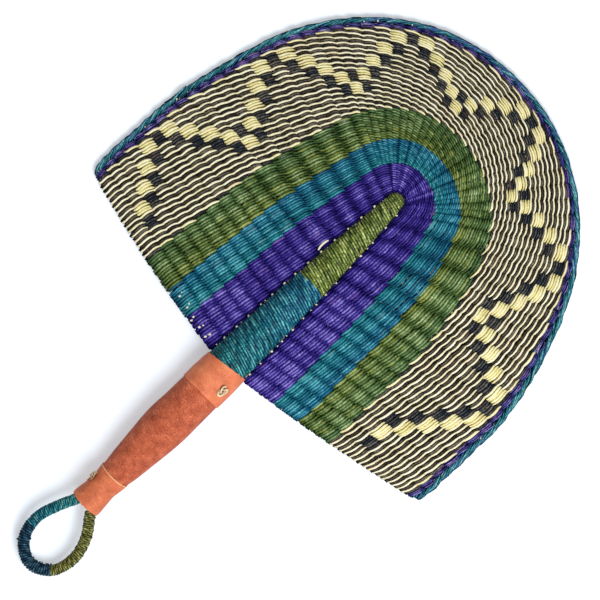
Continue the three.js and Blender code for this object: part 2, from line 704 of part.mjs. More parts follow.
// A strand round the spine: it lies square to the axis behind and at both sides, where the straws leave,
// and climbs to the next turn across the front
function spineWinding(heights) {
  const rings = [];
  const ringAt = (step, y) => {
    const angle = 2 * Math.PI * step / TURN_STEPS;
    const radial = new THREE.Vector3(-Math.cos(angle), 0, Math.sin(angle));
    const radius = spineRadius(y) - STRAND_THICKNESS;
    const [half, shoulder] = [STRAND_WIDTH / 2, STRAND_SHOULDER];
    const section = [[-half, 0], [half, 0], [half, shoulder], [0, STRAND_THICKNESS], [-half, shoulder]];
    rings.push(section.map(([up, out]) => offset(
      new THREE.Vector3(0, y + up, AXIS_HEIGHT), [radial, radius + out],
    )));
  };
  const half = TURN_STEPS / 2;
  heights.forEach((y, t) => {
    const next = heights[t + 1];
    for (let s = t === 0 ? -1 : 0; s <= half; s++) ringAt(half + s, y);
    if (next === undefined) ringAt(1, y);
    else for (let s = 1; s < half; s++) ringAt(s, y + (next - y) * THREE.MathUtils.smoothstep(s, 0, half));
  });
  return rings;
}

const tealTurns = [(FIRST_HOLE - strawsHalfSpan(0) - STRAND_CLEARANCE) / 2];
for (let hole = 0; hole < COLOUR_CHANGE_HOLE; hole++) tealTurns.push(...turnsAfter(hole));
const greenTurns = [];
for (let hole = COLOUR_CHANGE_HOLE; hole < HOLES - 1; hole++) greenTurns.push(...turnsAfter(hole));
greenTurns.push(LAST_HOLE + strawsHalfSpan(HOLES - 1) + STRAND_CLEARANCE + STRAND_WIDTH / 2);
winding('spine_wrap_teal', spineWinding(tealTurns), TURN_STEPS, TEAL);
winding('spine_wrap_green', spineWinding(greenTurns), TURN_STEPS, GREEN);

// Hanging loop
const loopPlan = [
  [LOOP_ENDS[0], LOOP_START],
  ...LOOP_ROUTE.map(([x, up]) => [x, MOUTH + up]),
  [LOOP_ENDS[1], LOOP_START],
];
const loopFar = Math.min(...loopPlan.map((p) => p[1]));
const loopRoute = new THREE.CatmullRomCurve3(loopPlan.map(([x, y]) => new THREE.Vector3(
  x, y, AXIS_HEIGHT - LOOP_DROOP * ((y - LOOP_START) / (loopFar - LOOP_START)) ** 2,
)));
const loopLength = loopRoute.getLength();

function circle(radius, sides) {
  return new THREE.Shape(Array.from({ length: sides }, (_, i) => (
    new THREE.Vector2(radius, 0).rotateAround(new THREE.Vector2(), 2 * Math.PI * i / sides)
  )));
}

add('loop_core', new THREE.ExtrudeGeometry(circle(LOOP_CORE_RADIUS, LOOP_STEPS), {
  steps: LOOP_CORE_STEPS, bevelEnabled: false, extrudePath: loopRoute,
}), STRAW);

// A strand round the loop's bundle between two lengths along it
function loopWinding(from, to, turns) {
  const width = ((to - from) / turns - LOOP_STRAND_GAP) / (1 + 1 / turns);
  const inner = (LOOP_CORE_RADIUS + FIT) / Math.cos(Math.PI / LOOP_STEPS);
  const section = [[-0.5, inner], [0.5, inner], [0.36, LOOP_RADIUS], [-0.36, LOOP_RADIUS]];
  const count = turns * LOOP_STEPS;
  return Array.from({ length: count + 1 }, (_, i) => {
    const centre = THREE.MathUtils.lerp(from + width / 2, to - width / 2, i / count);
    const angle = 2 * Math.PI * i / LOOP_STEPS;
    return section.map(([share, radius]) => {
      const u = (centre + share * width) / loopLength;
      const side = loopRoute.getTangentAt(u).cross(UP).normalize();
      const top = side.clone().cross(loopRoute.getTangentAt(u));
      return offset(
        loopRoute.getPointAt(u), [side, radius * Math.cos(angle)], [top, radius * Math.sin(angle)],
      );
    });
  });
}

const loopChange = THREE.MathUtils.lerp(LOOP_BARE_END, loopLength - LOOP_BARE_END, LOOP_TEAL_SHARE);
const tealLoop = loopWinding(LOOP_BARE_END, loopChange - FIT / 2, LOOP_TEAL_TURNS);
const greenLoop = loopWinding(loopChange + FIT / 2, loopLength - LOOP_BARE_END, LOOP_GREEN_TURNS);
winding('loop_wrap_teal', tealLoop, LOOP_STEPS, TEAL);
winding('loop_wrap_green', greenLoop, LOOP_STEPS, GREEN);

// Straw knots, each tied flat on its collar
function knot(name, { across, down }, top, length, radii) {
  const geometry = new THREE.TorusKnotGeometry(KNOT_RADIUS, KNOT_STRAW_RADIUS, 26, 4);
  const mesh = add(name, geometry, STRAW);
  const radius = radiusAt(radii, down / length);
  const tilt = Math.asin(across / radius);
  const height = radius + KNOT_SEAT + (KNOT_RADIUS / 2 + KNOT_STRAW_RADIUS) * KNOT_FLATNESS;
  mesh.scale.z = KNOT_FLATNESS;
  mesh.rotation.y = tilt;
  mesh.position.set(height * Math.sin(tilt), top - down, AXIS_HEIGHT + height * Math.cos(tilt));
}

knot('stitch_upper', UPPER_KNOT, UPPER_COLLAR_TOP, UPPER_COLLAR_LENGTH, UPPER_COLLAR_RADII);
knot('stitch_lower', LOWER_KNOT, LOWER_COLLAR_TOP, LOWER_COLLAR_LENGTH, LOWER_COLLAR_RADII);

// The origin lies under the middle of the whole fan, on the table
const extent = new THREE.Box3().setFromObject(fan, true);
const middle = extent.getCenter(new THREE.Vector3());
fan.position.set(-middle.x, -middle.y, -extent.min.z);

const part = new THREE.Group();
part.add(fan);
export default part;
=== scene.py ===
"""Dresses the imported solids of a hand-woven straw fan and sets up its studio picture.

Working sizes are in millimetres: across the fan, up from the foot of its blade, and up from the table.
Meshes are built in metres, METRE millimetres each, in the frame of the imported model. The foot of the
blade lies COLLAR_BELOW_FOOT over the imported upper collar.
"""

from __future__ import annotations

import itertools
import logging
import math
from dataclasses import dataclass, field, replace
from enum import Enum
from typing import Callable, Mapping, Sequence

import bmesh
import bpy
import numpy as np
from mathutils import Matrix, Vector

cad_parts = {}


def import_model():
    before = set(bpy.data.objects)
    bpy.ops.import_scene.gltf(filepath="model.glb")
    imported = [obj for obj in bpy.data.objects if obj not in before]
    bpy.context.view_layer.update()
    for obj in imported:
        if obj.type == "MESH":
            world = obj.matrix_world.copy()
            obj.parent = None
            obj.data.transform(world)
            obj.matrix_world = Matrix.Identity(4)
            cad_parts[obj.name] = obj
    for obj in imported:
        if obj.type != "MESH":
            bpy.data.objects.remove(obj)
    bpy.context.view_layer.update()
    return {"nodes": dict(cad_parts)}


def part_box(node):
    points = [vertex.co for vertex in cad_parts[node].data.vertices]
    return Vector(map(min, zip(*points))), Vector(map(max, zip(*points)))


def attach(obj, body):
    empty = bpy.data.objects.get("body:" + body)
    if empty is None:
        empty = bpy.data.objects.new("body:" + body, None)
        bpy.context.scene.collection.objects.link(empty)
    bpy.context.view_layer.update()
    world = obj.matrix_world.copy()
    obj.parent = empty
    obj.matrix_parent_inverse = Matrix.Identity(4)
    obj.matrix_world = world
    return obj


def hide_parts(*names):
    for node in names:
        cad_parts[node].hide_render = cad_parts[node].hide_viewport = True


log = logging.getLogger("straw_fan")

Tint = tuple[int, int, int]
Shade = tuple[float, float, float, float]
UP = np.array([0.0, 0.0, 1.0])
METRE = 1000
COLLAR_BELOW_FOOT = 0.3


def shade(red: int, green: int, blue: int) -> Shade:
    """Gives the linear colour of a dye.

    Args:
        red: Red as an eye reads it, 0 to 255.
        green: Green, 0 to 255.
        blue: Blue, 0 to 255.

    Returns:
        Linear red, green, blue and full alpha.
    """
    def linear(value: int) -> float:
        """Turns one display value into a linear one."""
        share = value / 255
        return share / 12.92 if share <= 0.04045 else ((share + 0.055) / 1.055) ** 2.4

    return linear(red), linear(green), linear(blue), 1.0


# Shader expressions


class Wire:
    """A value inside a material that can be used in a Python expression."""

    def __init__(self, bench: Bench, socket: bpy.types.NodeSocket) -> None:
        """Keeps the bench that adds nodes and the output that carries the value."""
        self.bench = bench
        self.socket = socket

    def _maths(self, operation: str, left: Value, right: Value) -> Wire:
        """Adds one node that works on two values."""
        return self.bench.node("ShaderNodeMath", {"operation": operation}, {0: left, 1: right})

    def __add__(self, other: Value) -> Wire:
        """Adds."""
        return self._maths("ADD", self, other)

    def __radd__(self, other: Value) -> Wire:
        """Adds, from the right."""
        return self._maths("ADD", other, self)

    def __sub__(self, other: Value) -> Wire:
        """Subtracts."""
        return self._maths("SUBTRACT", self, other)

    def __rsub__(self, other: Value) -> Wire:
        """Subtracts this from a number."""
        return self._maths("SUBTRACT", other, self)

    def __mul__(self, other: Value) -> Wire:
        """Multiplies."""
        return self._maths("MULTIPLY", self, other)

    def __rmul__(self, other: Value) -> Wire:
        """Multiplies, from the right."""
        return self._maths("MULTIPLY", other, self)

    def within(self, low: float, high: float) -> Wire:
        """Maps this value from a low and a high one onto 0 to 1, held between them."""
        scaled = {"Value": self, "From Min": low, "From Max": high}
        return self.bench.node("ShaderNodeMapRange", {"clamp": True}, scaled)


Value = Wire | float | Sequence[float]


class Bench:
    """The node tree of one finish."""

    def __init__(self, name: str) -> None:
        """Starts an empty material.

        Args:
            name: Its name.
        """
        self.material = bpy.data.materials.new(name)
        self.material.use_nodes = True
        self.tree = self.material.node_tree
        self.tree.nodes.clear()

    def node(
        self,
        kind: str,
        settings: Mapping[str, object] | None = None,
        inputs: Mapping[int | str, Value] | None = None,
        output: int | str = 0,
    ) -> Wire:
        """Adds a node of any type.

        Args:
            kind: The node's type.
            settings: Its properties, set first.
            inputs: Values or wires for its sockets, by name or number.
            output: The output to use.

        Returns:
            That output.
        """
        made = self.tree.nodes.new(kind)
        for key, value in (settings or {}).items():
            setattr(made, key, value)
        for key, value in (inputs or {}).items():
            if isinstance(value, Wire):
                self.tree.links.new(value.socket, made.inputs[key])
            else:
                made.inputs[key].default_value = value
        return Wire(self, made.outputs[output])

    def blend(self, share: Value, first: Value, second: Value) -> Wire:
        """Mixes two colours by a share from 0 to 1."""
        return self.node("ShaderNodeMix", {"data_type": "RGBA"}, {0: share, 6: first, 7: second}, 2)

    def read(self, attribute: str) -> Wire:
        """Reads a number that the mesh carries."""
        return self.node("ShaderNodeAttribute", {"attribute_name": attribute}, output="Fac")

    def grain(self, where: Wire, stretch: Sequence[float], detail: float = 2.0) -> Wire:
        """Adds noise on coordinates, stretched by its cells to a unit each way, with finer layers."""
        scaled = self.node("ShaderNodeVectorMath", {"operation": "MULTIPLY"}, {0: where, 1: stretch})
        return self.node("ShaderNodeTexNoise", {}, {"Vector": scaled, "Scale": 1.0, "Detail": detail})

    def finish(
        self, colour: Value, roughness: Value, relief: Wire, depth: float, fixed: Mapping[str, float]
    ) -> bpy.types.Material:
        """Ends the tree in a surface.

        Args:
            colour: Base colour.
            roughness: Roughness.
            relief: Height of the fine relief, 0 to 1.
            depth: Depth of that relief in millimetres.
            fixed: Values of sockets that are the same all over.

        Returns:
            The finished material.
        """
        bump = self.node("ShaderNodeBump", {}, {"Distance": depth / METRE, "Height": relief})
        sockets = {"Base Color": colour, "Roughness": roughness, "Normal": bump, **fixed}
        self.end_in(self.node("ShaderNodeBsdfPrincipled", {}, sockets))
        return self.material

    def end_in(self, surface: Wire) -> None:
        """Joins a surface to the material's output."""
        end = self.tree.nodes.new("ShaderNodeOutputMaterial")
        self.tree.links.new(surface.socket, end.inputs["Surface"])


# Finishes


@dataclass(frozen=True)
class StrawDye:
    """Dyed straw in strands: painted shade in its folds, a painted highlight on its crests, and how it
    shines.

    A strand's level runs from its deep shade at 0 over its body to its light shade at about 1, so the deep
    shade also carries painted shade and the light one a painted highlight. Weights say how far each cause
    moves the level, ranges are levels, and cells are counted along and round a strand.
    """

    name: str
    deep: Tint
    inner: Tint
    outer: Tint
    light: Tint
    stray: Tint
    roughness: float = 0.5
    contrast: float = 1.0
    ply: float = 0.0
    ply_length: float = 15.0
    ply_drift: float = 1.6
    ply_fill: float = 0.3
    shine: float = 0.1
    tone_weight: float = 0.32
    patch_weight: float = 0.5
    fold_shade_weight: float = 1.15
    tuck_weight: float = 0.34
    usual_unevenness: float = 0.91
    usual_level: float = 0.87
    strand_gap: float = 61.0
    fibre_cells: tuple[float, ...] = (0.8, 8.0, 1.0)
    ply_fibre_cells: tuple[float, ...] = (0.45, 8.0, 1.0)
    patch_cells: tuple[float, ...] = (0.3, 0.7, 1.0)
    drift_cells: tuple[float, ...] = (0.07, 0.0, 1.0)
    low_range: tuple[float, float] = (0.0, 0.55)
    high_range: tuple[float, float] = (0.6, 1.15)
    stray_range: tuple[float, float] = (0.1, 0.6)
    stray_patch: tuple[float, float] = (0.35, 0.6)
    groove_range: tuple[float, float] = (0.1, 0.5)
    relief: float = 0.16

    def material(self) -> bpy.types.Material:
        """Makes the material: fibres along strands, painted shade in folds and a painted highlight on crests.

        Returns:
            The material, which reads the strand's tone, painted tuck and fold shade, reach and stray values.
        """
        bench = Bench(self.name)
        tone, tuck, fold_shade = (bench.read(name) for name in ("tone", "tuck", "fold_shade"))
        place = bench.node("ShaderNodeUVMap", {"uv_map": "strand"})
        apart = bench.node("ShaderNodeCombineXYZ", {}, {"Z": tone * self.strand_gap})
        lane = bench.node("ShaderNodeVectorMath", {"operation": "ADD"}, {0: place, 1: apart})
        fibre = bench.grain(lane, self.ply_fibre_cells if self.ply else self.fibre_cells, 3.0)
        patch = bench.grain(lane, self.patch_cells, 1.0)
        uneven = tone * self.tone_weight + fibre + patch * self.patch_weight - self.usual_unevenness
        # Painted shade darkens flanks and turn ends; unshaded crests come out as a painted highlight.
        shade_lowered = uneven - fold_shade * self.fold_shade_weight - tuck * self.tuck_weight
        level = shade_lowered * self.contrast + self.usual_level
        # Painted shade in ply grooves that the mesh does not have; the plies stay lighter.
        if self.ply:
            filled = patch * self.patch_weight - self.ply_fill * (1 - self.ply)
            level = level - self.ply_groove_shade(bench, place) * self.ply + filled
        body = bench.blend(bench.read("reach"), shade(*self.inner), shade(*self.outer))
        low = bench.blend(level.within(*self.low_range), shade(*self.deep), body)
        high = bench.blend(level.within(*self.high_range), low, shade(*self.light))
        spot = bench.read("stray") * patch.within(*self.stray_patch)
        colour = bench.blend(spot * level.within(*self.stray_range), high, shade(*self.stray))
        rough = fibre * 0.25 + (self.roughness - 0.12)
        return bench.finish(colour, rough, fibre, self.relief, {"Specular IOR Level": self.shine})

    def ply_groove_shade(self, bench: Bench, place: Wire) -> Wire:
        """Paints shade into the grooves of a strand twisted from two plies; the mesh has no grooves.

        Args:
            bench: The finish's bench.
            place: The strand's map.

        Returns:
            1 where the grooves take painted shade and 0 on the plies.
        """
        along = (-1 / self.ply_length, 2.0, 0.0)
        twist = bench.node(
            "ShaderNodeVectorMath", {"operation": "DOT_PRODUCT"}, {0: place, 1: along}, "Value",
        )
        turn = twist + bench.grain(place, self.drift_cells, 2.0) * self.ply_drift
        groove_shade = bench.node("ShaderNodeMath", {"operation": "PINGPONG"}, {0: turn, 1: 0.5})
        return groove_shade.within(*self.groove_range)


@dataclass(frozen=True)
class BareStraw:
    """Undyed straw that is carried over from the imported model: the stakes, the core and the loop's core."""

    name: str
    pale: Tint
    tan: Tint
    fibre_cells: tuple[float, ...] = (2600.0, 2600.0, 900.0)
    patch_cells: tuple[float, ...] = (160.0, 160.0, 160.0)

    def material(self) -> bpy.types.Material:
        """Makes the material, with fine fibres and weathered patches.

        Returns:
            The material, which reads Object coordinates.
        """
        bench = Bench(self.name)
        place = bench.node("ShaderNodeTexCoord", output="Object")
        fibre = bench.grain(place, self.fibre_cells, 3.0)
        patch = bench.grain(place, self.patch_cells, 2.0)
        worn = (fibre * 0.6 + patch * 0.6).within(0.35, 0.85)
        colour = bench.blend(worn, shade(*self.pale), shade(*self.tan))
        return bench.finish(colour, fibre * 0.3 + 0.4, fibre, 0.12, {"Specular IOR Level": 0.4})


@dataclass(frozen=True)
class GoatLeather:
    """Thin dyed goat leather, smooth or brushed up like suede; cells are counted to the centimetre."""

    name: str
    deep: Tint
    body: Tint
    worn: Tint
    nap: float
    relief: float
    roughness: float
    drift_cells: tuple[float, ...] = (0.5, 0.45, 1.0)
    nap_cells: tuple[float, ...] = (14.0, 2.6, 1.0)
    stroke_cells: tuple[float, ...] = (26.0, 3.4, 1.0)
    speck_cells: tuple[float, ...] = (15.0, 13.0, 1.0)
    mottle_cells: tuple[float, ...] = (1.3, 1.5, 1.0)
    crease_cells: tuple[float, ...] = (0.7, 5.0, 1.0)
    crease_range: tuple[float, float] = (0.62, 0.75)
    pore_cells: float = 13.0
    swirl: float = 1.5
    swirl_start: float = 0.05

    def material(self) -> bpy.types.Material:
        """Makes the material: pores, slanting brushed nap, handled patches and creases with painted shade.

        Returns:
            The material, which reads the sleeve's own map, in centimetres round and along.
        """
        bench = Bench(self.name)
        place = bench.node("ShaderNodeUVMap", {"uv_map": "hide"})
        angle = bench.grain(place, self.drift_cells, 2.0) * self.swirl + self.swirl_start
        swirl = bench.node(
            "ShaderNodeVectorRotate", {"rotation_type": "Z_AXIS"}, {"Vector": place, "Angle": angle},
        )
        nap = bench.grain(swirl, self.nap_cells, 3.0)
        strokes = bench.grain(swirl, self.stroke_cells, 1.0)
        pore = {"Vector": place, "Scale": self.pore_cells, "Randomness": 1.0}
        pores = bench.node("ShaderNodeTexVoronoi", {}, pore)
        speck = bench.grain(place, self.speck_cells, 1.0)
        mottle = bench.grain(place, self.mottle_cells, 4.0)
        shaded_crease = bench.grain(place, self.crease_cells, 2.0).within(*self.crease_range)
        fine = nap * 0.8 + strokes * 0.5 + speck * 0.9
        # Creases get painted shade in the colour as well as a dip in the relief.
        level = mottle * 0.8 + fine * self.nap - shaded_crease * 0.16
        middle = 0.4 + 1.1 * self.nap
        low = bench.blend(level.within(middle - 0.42, middle), shade(*self.deep), shade(*self.body))
        colour = bench.blend(level.within(middle + 0.02, middle + 0.5), low, shade(*self.worn))
        brushed = nap * self.nap + strokes * (self.nap * 0.5)
        relief = pores * 0.35 + brushed + speck * 0.3 - shaded_crease * 0.3
        rough = mottle * 0.2 + (self.roughness - 0.1)
        return bench.finish(colour, rough, relief, self.relief, {
            "Specular IOR Level": 0.2, "Sheen Weight": 0.03 * self.nap, "Sheen Roughness": 0.5,
        })


SPINE_STRAW = {"roughness": 0.46, "ply": 0.45}
LOOP_STRAW = {"contrast": 1.35, "ply": 0.5, "ply_length": 5.5}


@dataclass(frozen=True)
class FanFinishes:
    """Every finish of the fan, in colours as an eye reads them."""

    violet: StrawDye = StrawDye(
        "violet_straw", (8, 0, 68), (64, 48, 150), (58, 44, 140), (160, 146, 226), (112, 72, 150),
        contrast=1.15,
    )
    teal: StrawDye = StrawDye(
        "teal_straw", (0, 38, 64), (24, 118, 128), (22, 98, 132), (108, 196, 208), (110, 150, 160),
        contrast=1.1,
    )
    green: StrawDye = StrawDye(
        "green_straw", (16, 38, 6), (96, 116, 52), (78, 110, 66), (184, 204, 150), (160, 162, 64),
        contrast=1.15,
    )
    cream: StrawDye = StrawDye(
        "cream_straw", (146, 126, 80), (250, 243, 206), (242, 232, 158), (255, 254, 236), (248, 220, 176),
        roughness=0.46, contrast=1.1,
    )
    black: StrawDye = StrawDye(
        "black_straw", (8, 8, 4), (46, 40, 32), (24, 35, 48), (124, 116, 100), (76, 56, 46), contrast=1.3,
    )
    rim_violet: StrawDye = StrawDye(
        "rim_violet_straw", (14, 8, 52), (72, 56, 130), (48, 60, 134), (178, 168, 214), (136, 92, 160),
        contrast=1.35,
    )
    rim_teal: StrawDye = StrawDye(
        "rim_teal_straw", (2, 30, 44), (32, 108, 130), (34, 120, 128), (146, 206, 210), (50, 58, 138),
        contrast=1.45,
    )
    spine_teal: StrawDye = StrawDye(
        "spine_teal_straw", (2, 26, 40), (14, 104, 110), (18, 98, 134), (112, 200, 200), (60, 160, 120),
        contrast=1.15, shine=0.2, **SPINE_STRAW,
    )
    spine_green: StrawDye = StrawDye(
        "spine_green_straw", (16, 28, 8), (108, 128, 46), (100, 120, 52), (216, 224, 140), (200, 180, 90),
        contrast=1.3, shine=0.3, **SPINE_STRAW,
    )
    loop_teal: StrawDye = StrawDye(
        "loop_teal_straw", (2, 44, 56), (28, 120, 120), (26, 104, 128), (124, 196, 194), (120, 160, 150),
        **LOOP_STRAW,
    )
    loop_navy: StrawDye = StrawDye(
        "loop_navy_straw", (2, 18, 34), (22, 62, 84), (20, 54, 72), (92, 132, 152), (80, 110, 120),
        **LOOP_STRAW,
    )
    loop_olive: StrawDye = StrawDye(
        "loop_olive_straw", (34, 34, 12), (112, 112, 50), (114, 116, 56), (204, 202, 140), (60, 70, 30),
        **LOOP_STRAW,
    )
    natural: StrawDye = StrawDye(
        "natural_straw", (150, 122, 74), (238, 226, 184), (238, 226, 184), (254, 250, 232),
        (190, 160, 100), contrast=0.7,
    )
    knot: StrawDye = StrawDye(
        "knot_straw", (120, 72, 46), (236, 212, 166), (228, 202, 158), (254, 246, 222), (196, 150, 110),
        contrast=0.9,
    )
    bare: BareStraw = BareStraw("bare_straw", (226, 206, 150), (176, 142, 84))
    collar: GoatLeather = GoatLeather(
        "orange_leather", (166, 82, 50), (228, 126, 86), (254, 178, 122), 0.5, 0.2, 0.55,
    )
    butt_collar: GoatLeather = GoatLeather(
        "worn_orange_leather", (136, 66, 40), (212, 112, 74), (252, 172, 116), 0.6, 0.2, 0.55,
    )
    grip: GoatLeather = GoatLeather(
        "terracotta_leather", (112, 46, 28), (192, 92, 60), (248, 152, 112), 1.0, 0.3, 0.66,
    )
    cut_edge: GoatLeather = GoatLeather(
        "cut_leather_edge", (222, 150, 96), (246, 200, 146), (255, 226, 184), 0.4, 0.1, 0.6,
    )


# Layout


@dataclass(frozen=True)
class FanPlan:
    """Where the fan's straws run: its outline, its holes and the heights of its parts."""

    straws: int = 63
    side_straws: int = 19
    single_holes: int = 9
    middle_hole: int = 7
    tip_straws: int = 25
    half_width: float = 159.0
    corner_rise: float = 27.5
    shoulder_rise: float = 85.0
    crown_height: float = 193.4
    crown_fullness: float = 2.08
    crown_points: int = 1441
    foot_sag: float = 2.0
    right_lift: float = 0.8
    right_tuck: float = 2.4
    rim_drift: float = 0.2
    rim_height: float = 2.6
    axis_height: float = 16.25
    first_hole: float = 5.8
    single_pitch: float = 10.9
    pair_pitch: float = 12.3
    pair_spacing: float = 2.1
    straw_width: float = 1.6
    tip_centre: float = 160.2
    tip_radius: float = 6.35
    foot_radius: float = 15.0
    middle_radius: float = 11.7
    gap: float = 0.3
    band_widths: tuple[float, ...] = (25.9, 21.0, 25.1, 64.0, 4.4, 3.6)
    band_drifts: tuple[tuple[float, float, float], ...] = (
        (17.0, -0.033, 9.0), (36.0, -0.012, 8.0), (49.0, 0.013, 6.0), (0.0, 0.01, 2.0),
    )
    drift_hump: tuple[tuple[float, float], ...] = (
        (0.0, 0.0), (0.18, 0.6), (0.32, 1.0), (0.52, 1.0), (0.94, 0.0),
    )
    rim_bulges: tuple[tuple[float, float, float], ...] = (
        (158.0, -3.8, 15.0), (30.0, -1.4, 8.0), (7.0, 1.2, 5.0), (193.0, 1.6, 5.0), (132.0, -0.8, 10.0),
        (-19.0, -1.4, 3.0),
    )

    @property
    def pair_holes(self) -> int:
        """Number of holes that hold two straws."""
        return (self.side_straws - self.single_holes) // 2

    @property
    def holes(self) -> int:
        """Number of holes through the spine."""
        return self.single_holes + self.pair_holes

    def band_edge(self, count: int) -> float:
        """Share of a straw's length that the first bands take up."""
        return sum(self.band_widths[:count]) / sum(self.band_widths)

    def outline(self, share: np.ndarray) -> np.ndarray:
        """Walks the blade's outline from its left corner over the crown.

        Args:
            share: Shares of the outline's length.

        Returns:
            Points, across and up.
        """
        turn = np.linspace(math.pi, 0.0, self.crown_points)
        bent = [
            np.sign(v) * np.abs(v) ** (2 / self.crown_fullness) for v in (np.cos(turn), np.sin(turn))
        ]
        crown = np.stack([
            self.half_width * bent[0], self.shoulder_rise + self.crown_height * bent[1],
        ], 1)
        corners = np.array([[-self.half_width, self.corner_rise], [self.half_width, self.corner_rise]])
        walk = np.concatenate([corners[:1], crown, corners[1:]])
        reach = np.concatenate([[0.0], np.cumsum(np.hypot(*np.diff(walk, axis=0).T))])
        return np.stack([np.interp(share * reach[-1], reach, walk[:, k]) for k in (0, 1)], -1)

    def hand_drift(self, points: np.ndarray) -> np.ndarray:
        """Moves points of the outline in or out a little, as the weaver's hand did.

        Args:
            points: Points on the outline, across and up.

        Returns:
            The moved points; each bulge has a bearing and a breadth in degrees and a size in millimetres.
        """
        away = points - np.array([0.0, self.shoulder_rise])
        bearing = np.degrees(np.arctan2(away[:, 1], away[:, 0]))
        out = away / np.linalg.norm(away, axis=1, keepdims=True)
        for centre, size, breadth in self.rim_bulges:
            turn = (bearing - centre + 180) % 360 - 180
            points = points + out * (size * np.exp(-((turn / breadth) ** 2)))[:, None]
        return points

    def weft_drift(self, straw: np.ndarray, share: np.ndarray) -> np.ndarray:
        """Moves weft along the straws a little, as the weaver's rows close up at one shoulder.

        Args:
            straw: Number of the straw, counted from the left foot; in between is allowed.
            share: Even share of the way from spine to rim.

        Returns:
            The moved shares; each drift has a straw, a size in shares and a breadth in straws.
        """
        hump = np.interp(share, *zip(*self.drift_hump))
        for centre, size, breadth in self.band_drifts:
            share = share + size * hump * np.exp(-(((straw - centre) / breadth) ** 2))
        return share

    def spine_radius(self, height: np.ndarray | float) -> np.ndarray | float:
        """Radius of the wound spine, on a smooth curve through its foot, its middle and its tip.

        Args:
            height: Height above the foot.

        Returns:
            The radius there.
        """
        middle, tip = self.hole_height(self.middle_hole), self.tip_centre
        return (
            self.foot_radius * (height - middle) * (height - tip) / (middle * tip)
            + self.middle_radius * height * (tip - height) / (middle * (tip - middle))
            + self.tip_radius * height * (height - middle) / (tip * (tip - middle))
        )

    def hole_height(self, hole: int) -> float:
        """Height of a hole through the spine.

        Args:
            hole: Number of the hole, from the foot.

        Returns:
            The height of its middle above the foot.
        """
        if hole < self.single_holes:
            return self.first_hole + self.single_pitch * hole
        last_single = self.first_hole + self.single_pitch * (self.single_holes - 1)
        return last_single + self.pair_pitch * (hole - self.single_holes + 1)

    def exit_height(self, straw: int) -> float:
        """Height at which a side straw leaves the spine.

        Args:
            straw: Number of the straw, from the foot.

        Returns:
            The height above the foot.
        """
        if straw < self.single_holes:
            return self.hole_height(straw)
        step, second = divmod(straw - self.single_holes, 2)
        return self.hole_height(self.single_holes + step) + (second - 0.5) * self.pair_spacing

    def root(self, straw: int) -> tuple[float, float]:
        """Point where a straw leaves the spine.

        Args:
            straw: Number of the straw, from the left foot round to the right one.

        Returns:
            The point, across and up.
        """
        if self.side_straws <= straw < self.side_straws + self.tip_straws:
            angle = math.pi * (1 - (straw - self.side_straws + 0.5) / self.tip_straws)
            radius = self.tip_radius + self.gap
            return radius * math.cos(angle), self.tip_centre + radius * math.sin(angle)
        left = straw < self.side_straws
        height = self.exit_height(straw if left else self.straws - 1 - straw)
        return (-1 if left else 1) * (self.spine_radius(height) + self.gap), height

    def straw_lines(self) -> tuple[np.ndarray, np.ndarray]:
        """Both ends of every straw's line.

        Returns:
            The points at the spine and the points at the rim, one row for each straw.
        """
        share = (np.arange(self.straws) + 0.5) / self.straws
        ends = self.hand_drift(self.outline(share - self.rim_drift * share * (1 - share) ** 2))
        return np.array([self.root(i) for i in range(self.straws)]), ends

    def middle_height(self, share: np.ndarray) -> np.ndarray:
        """Height of the blade's middle surface at shares of the way to the rim."""
        return self.axis_height + (self.rim_height - self.axis_height) * share


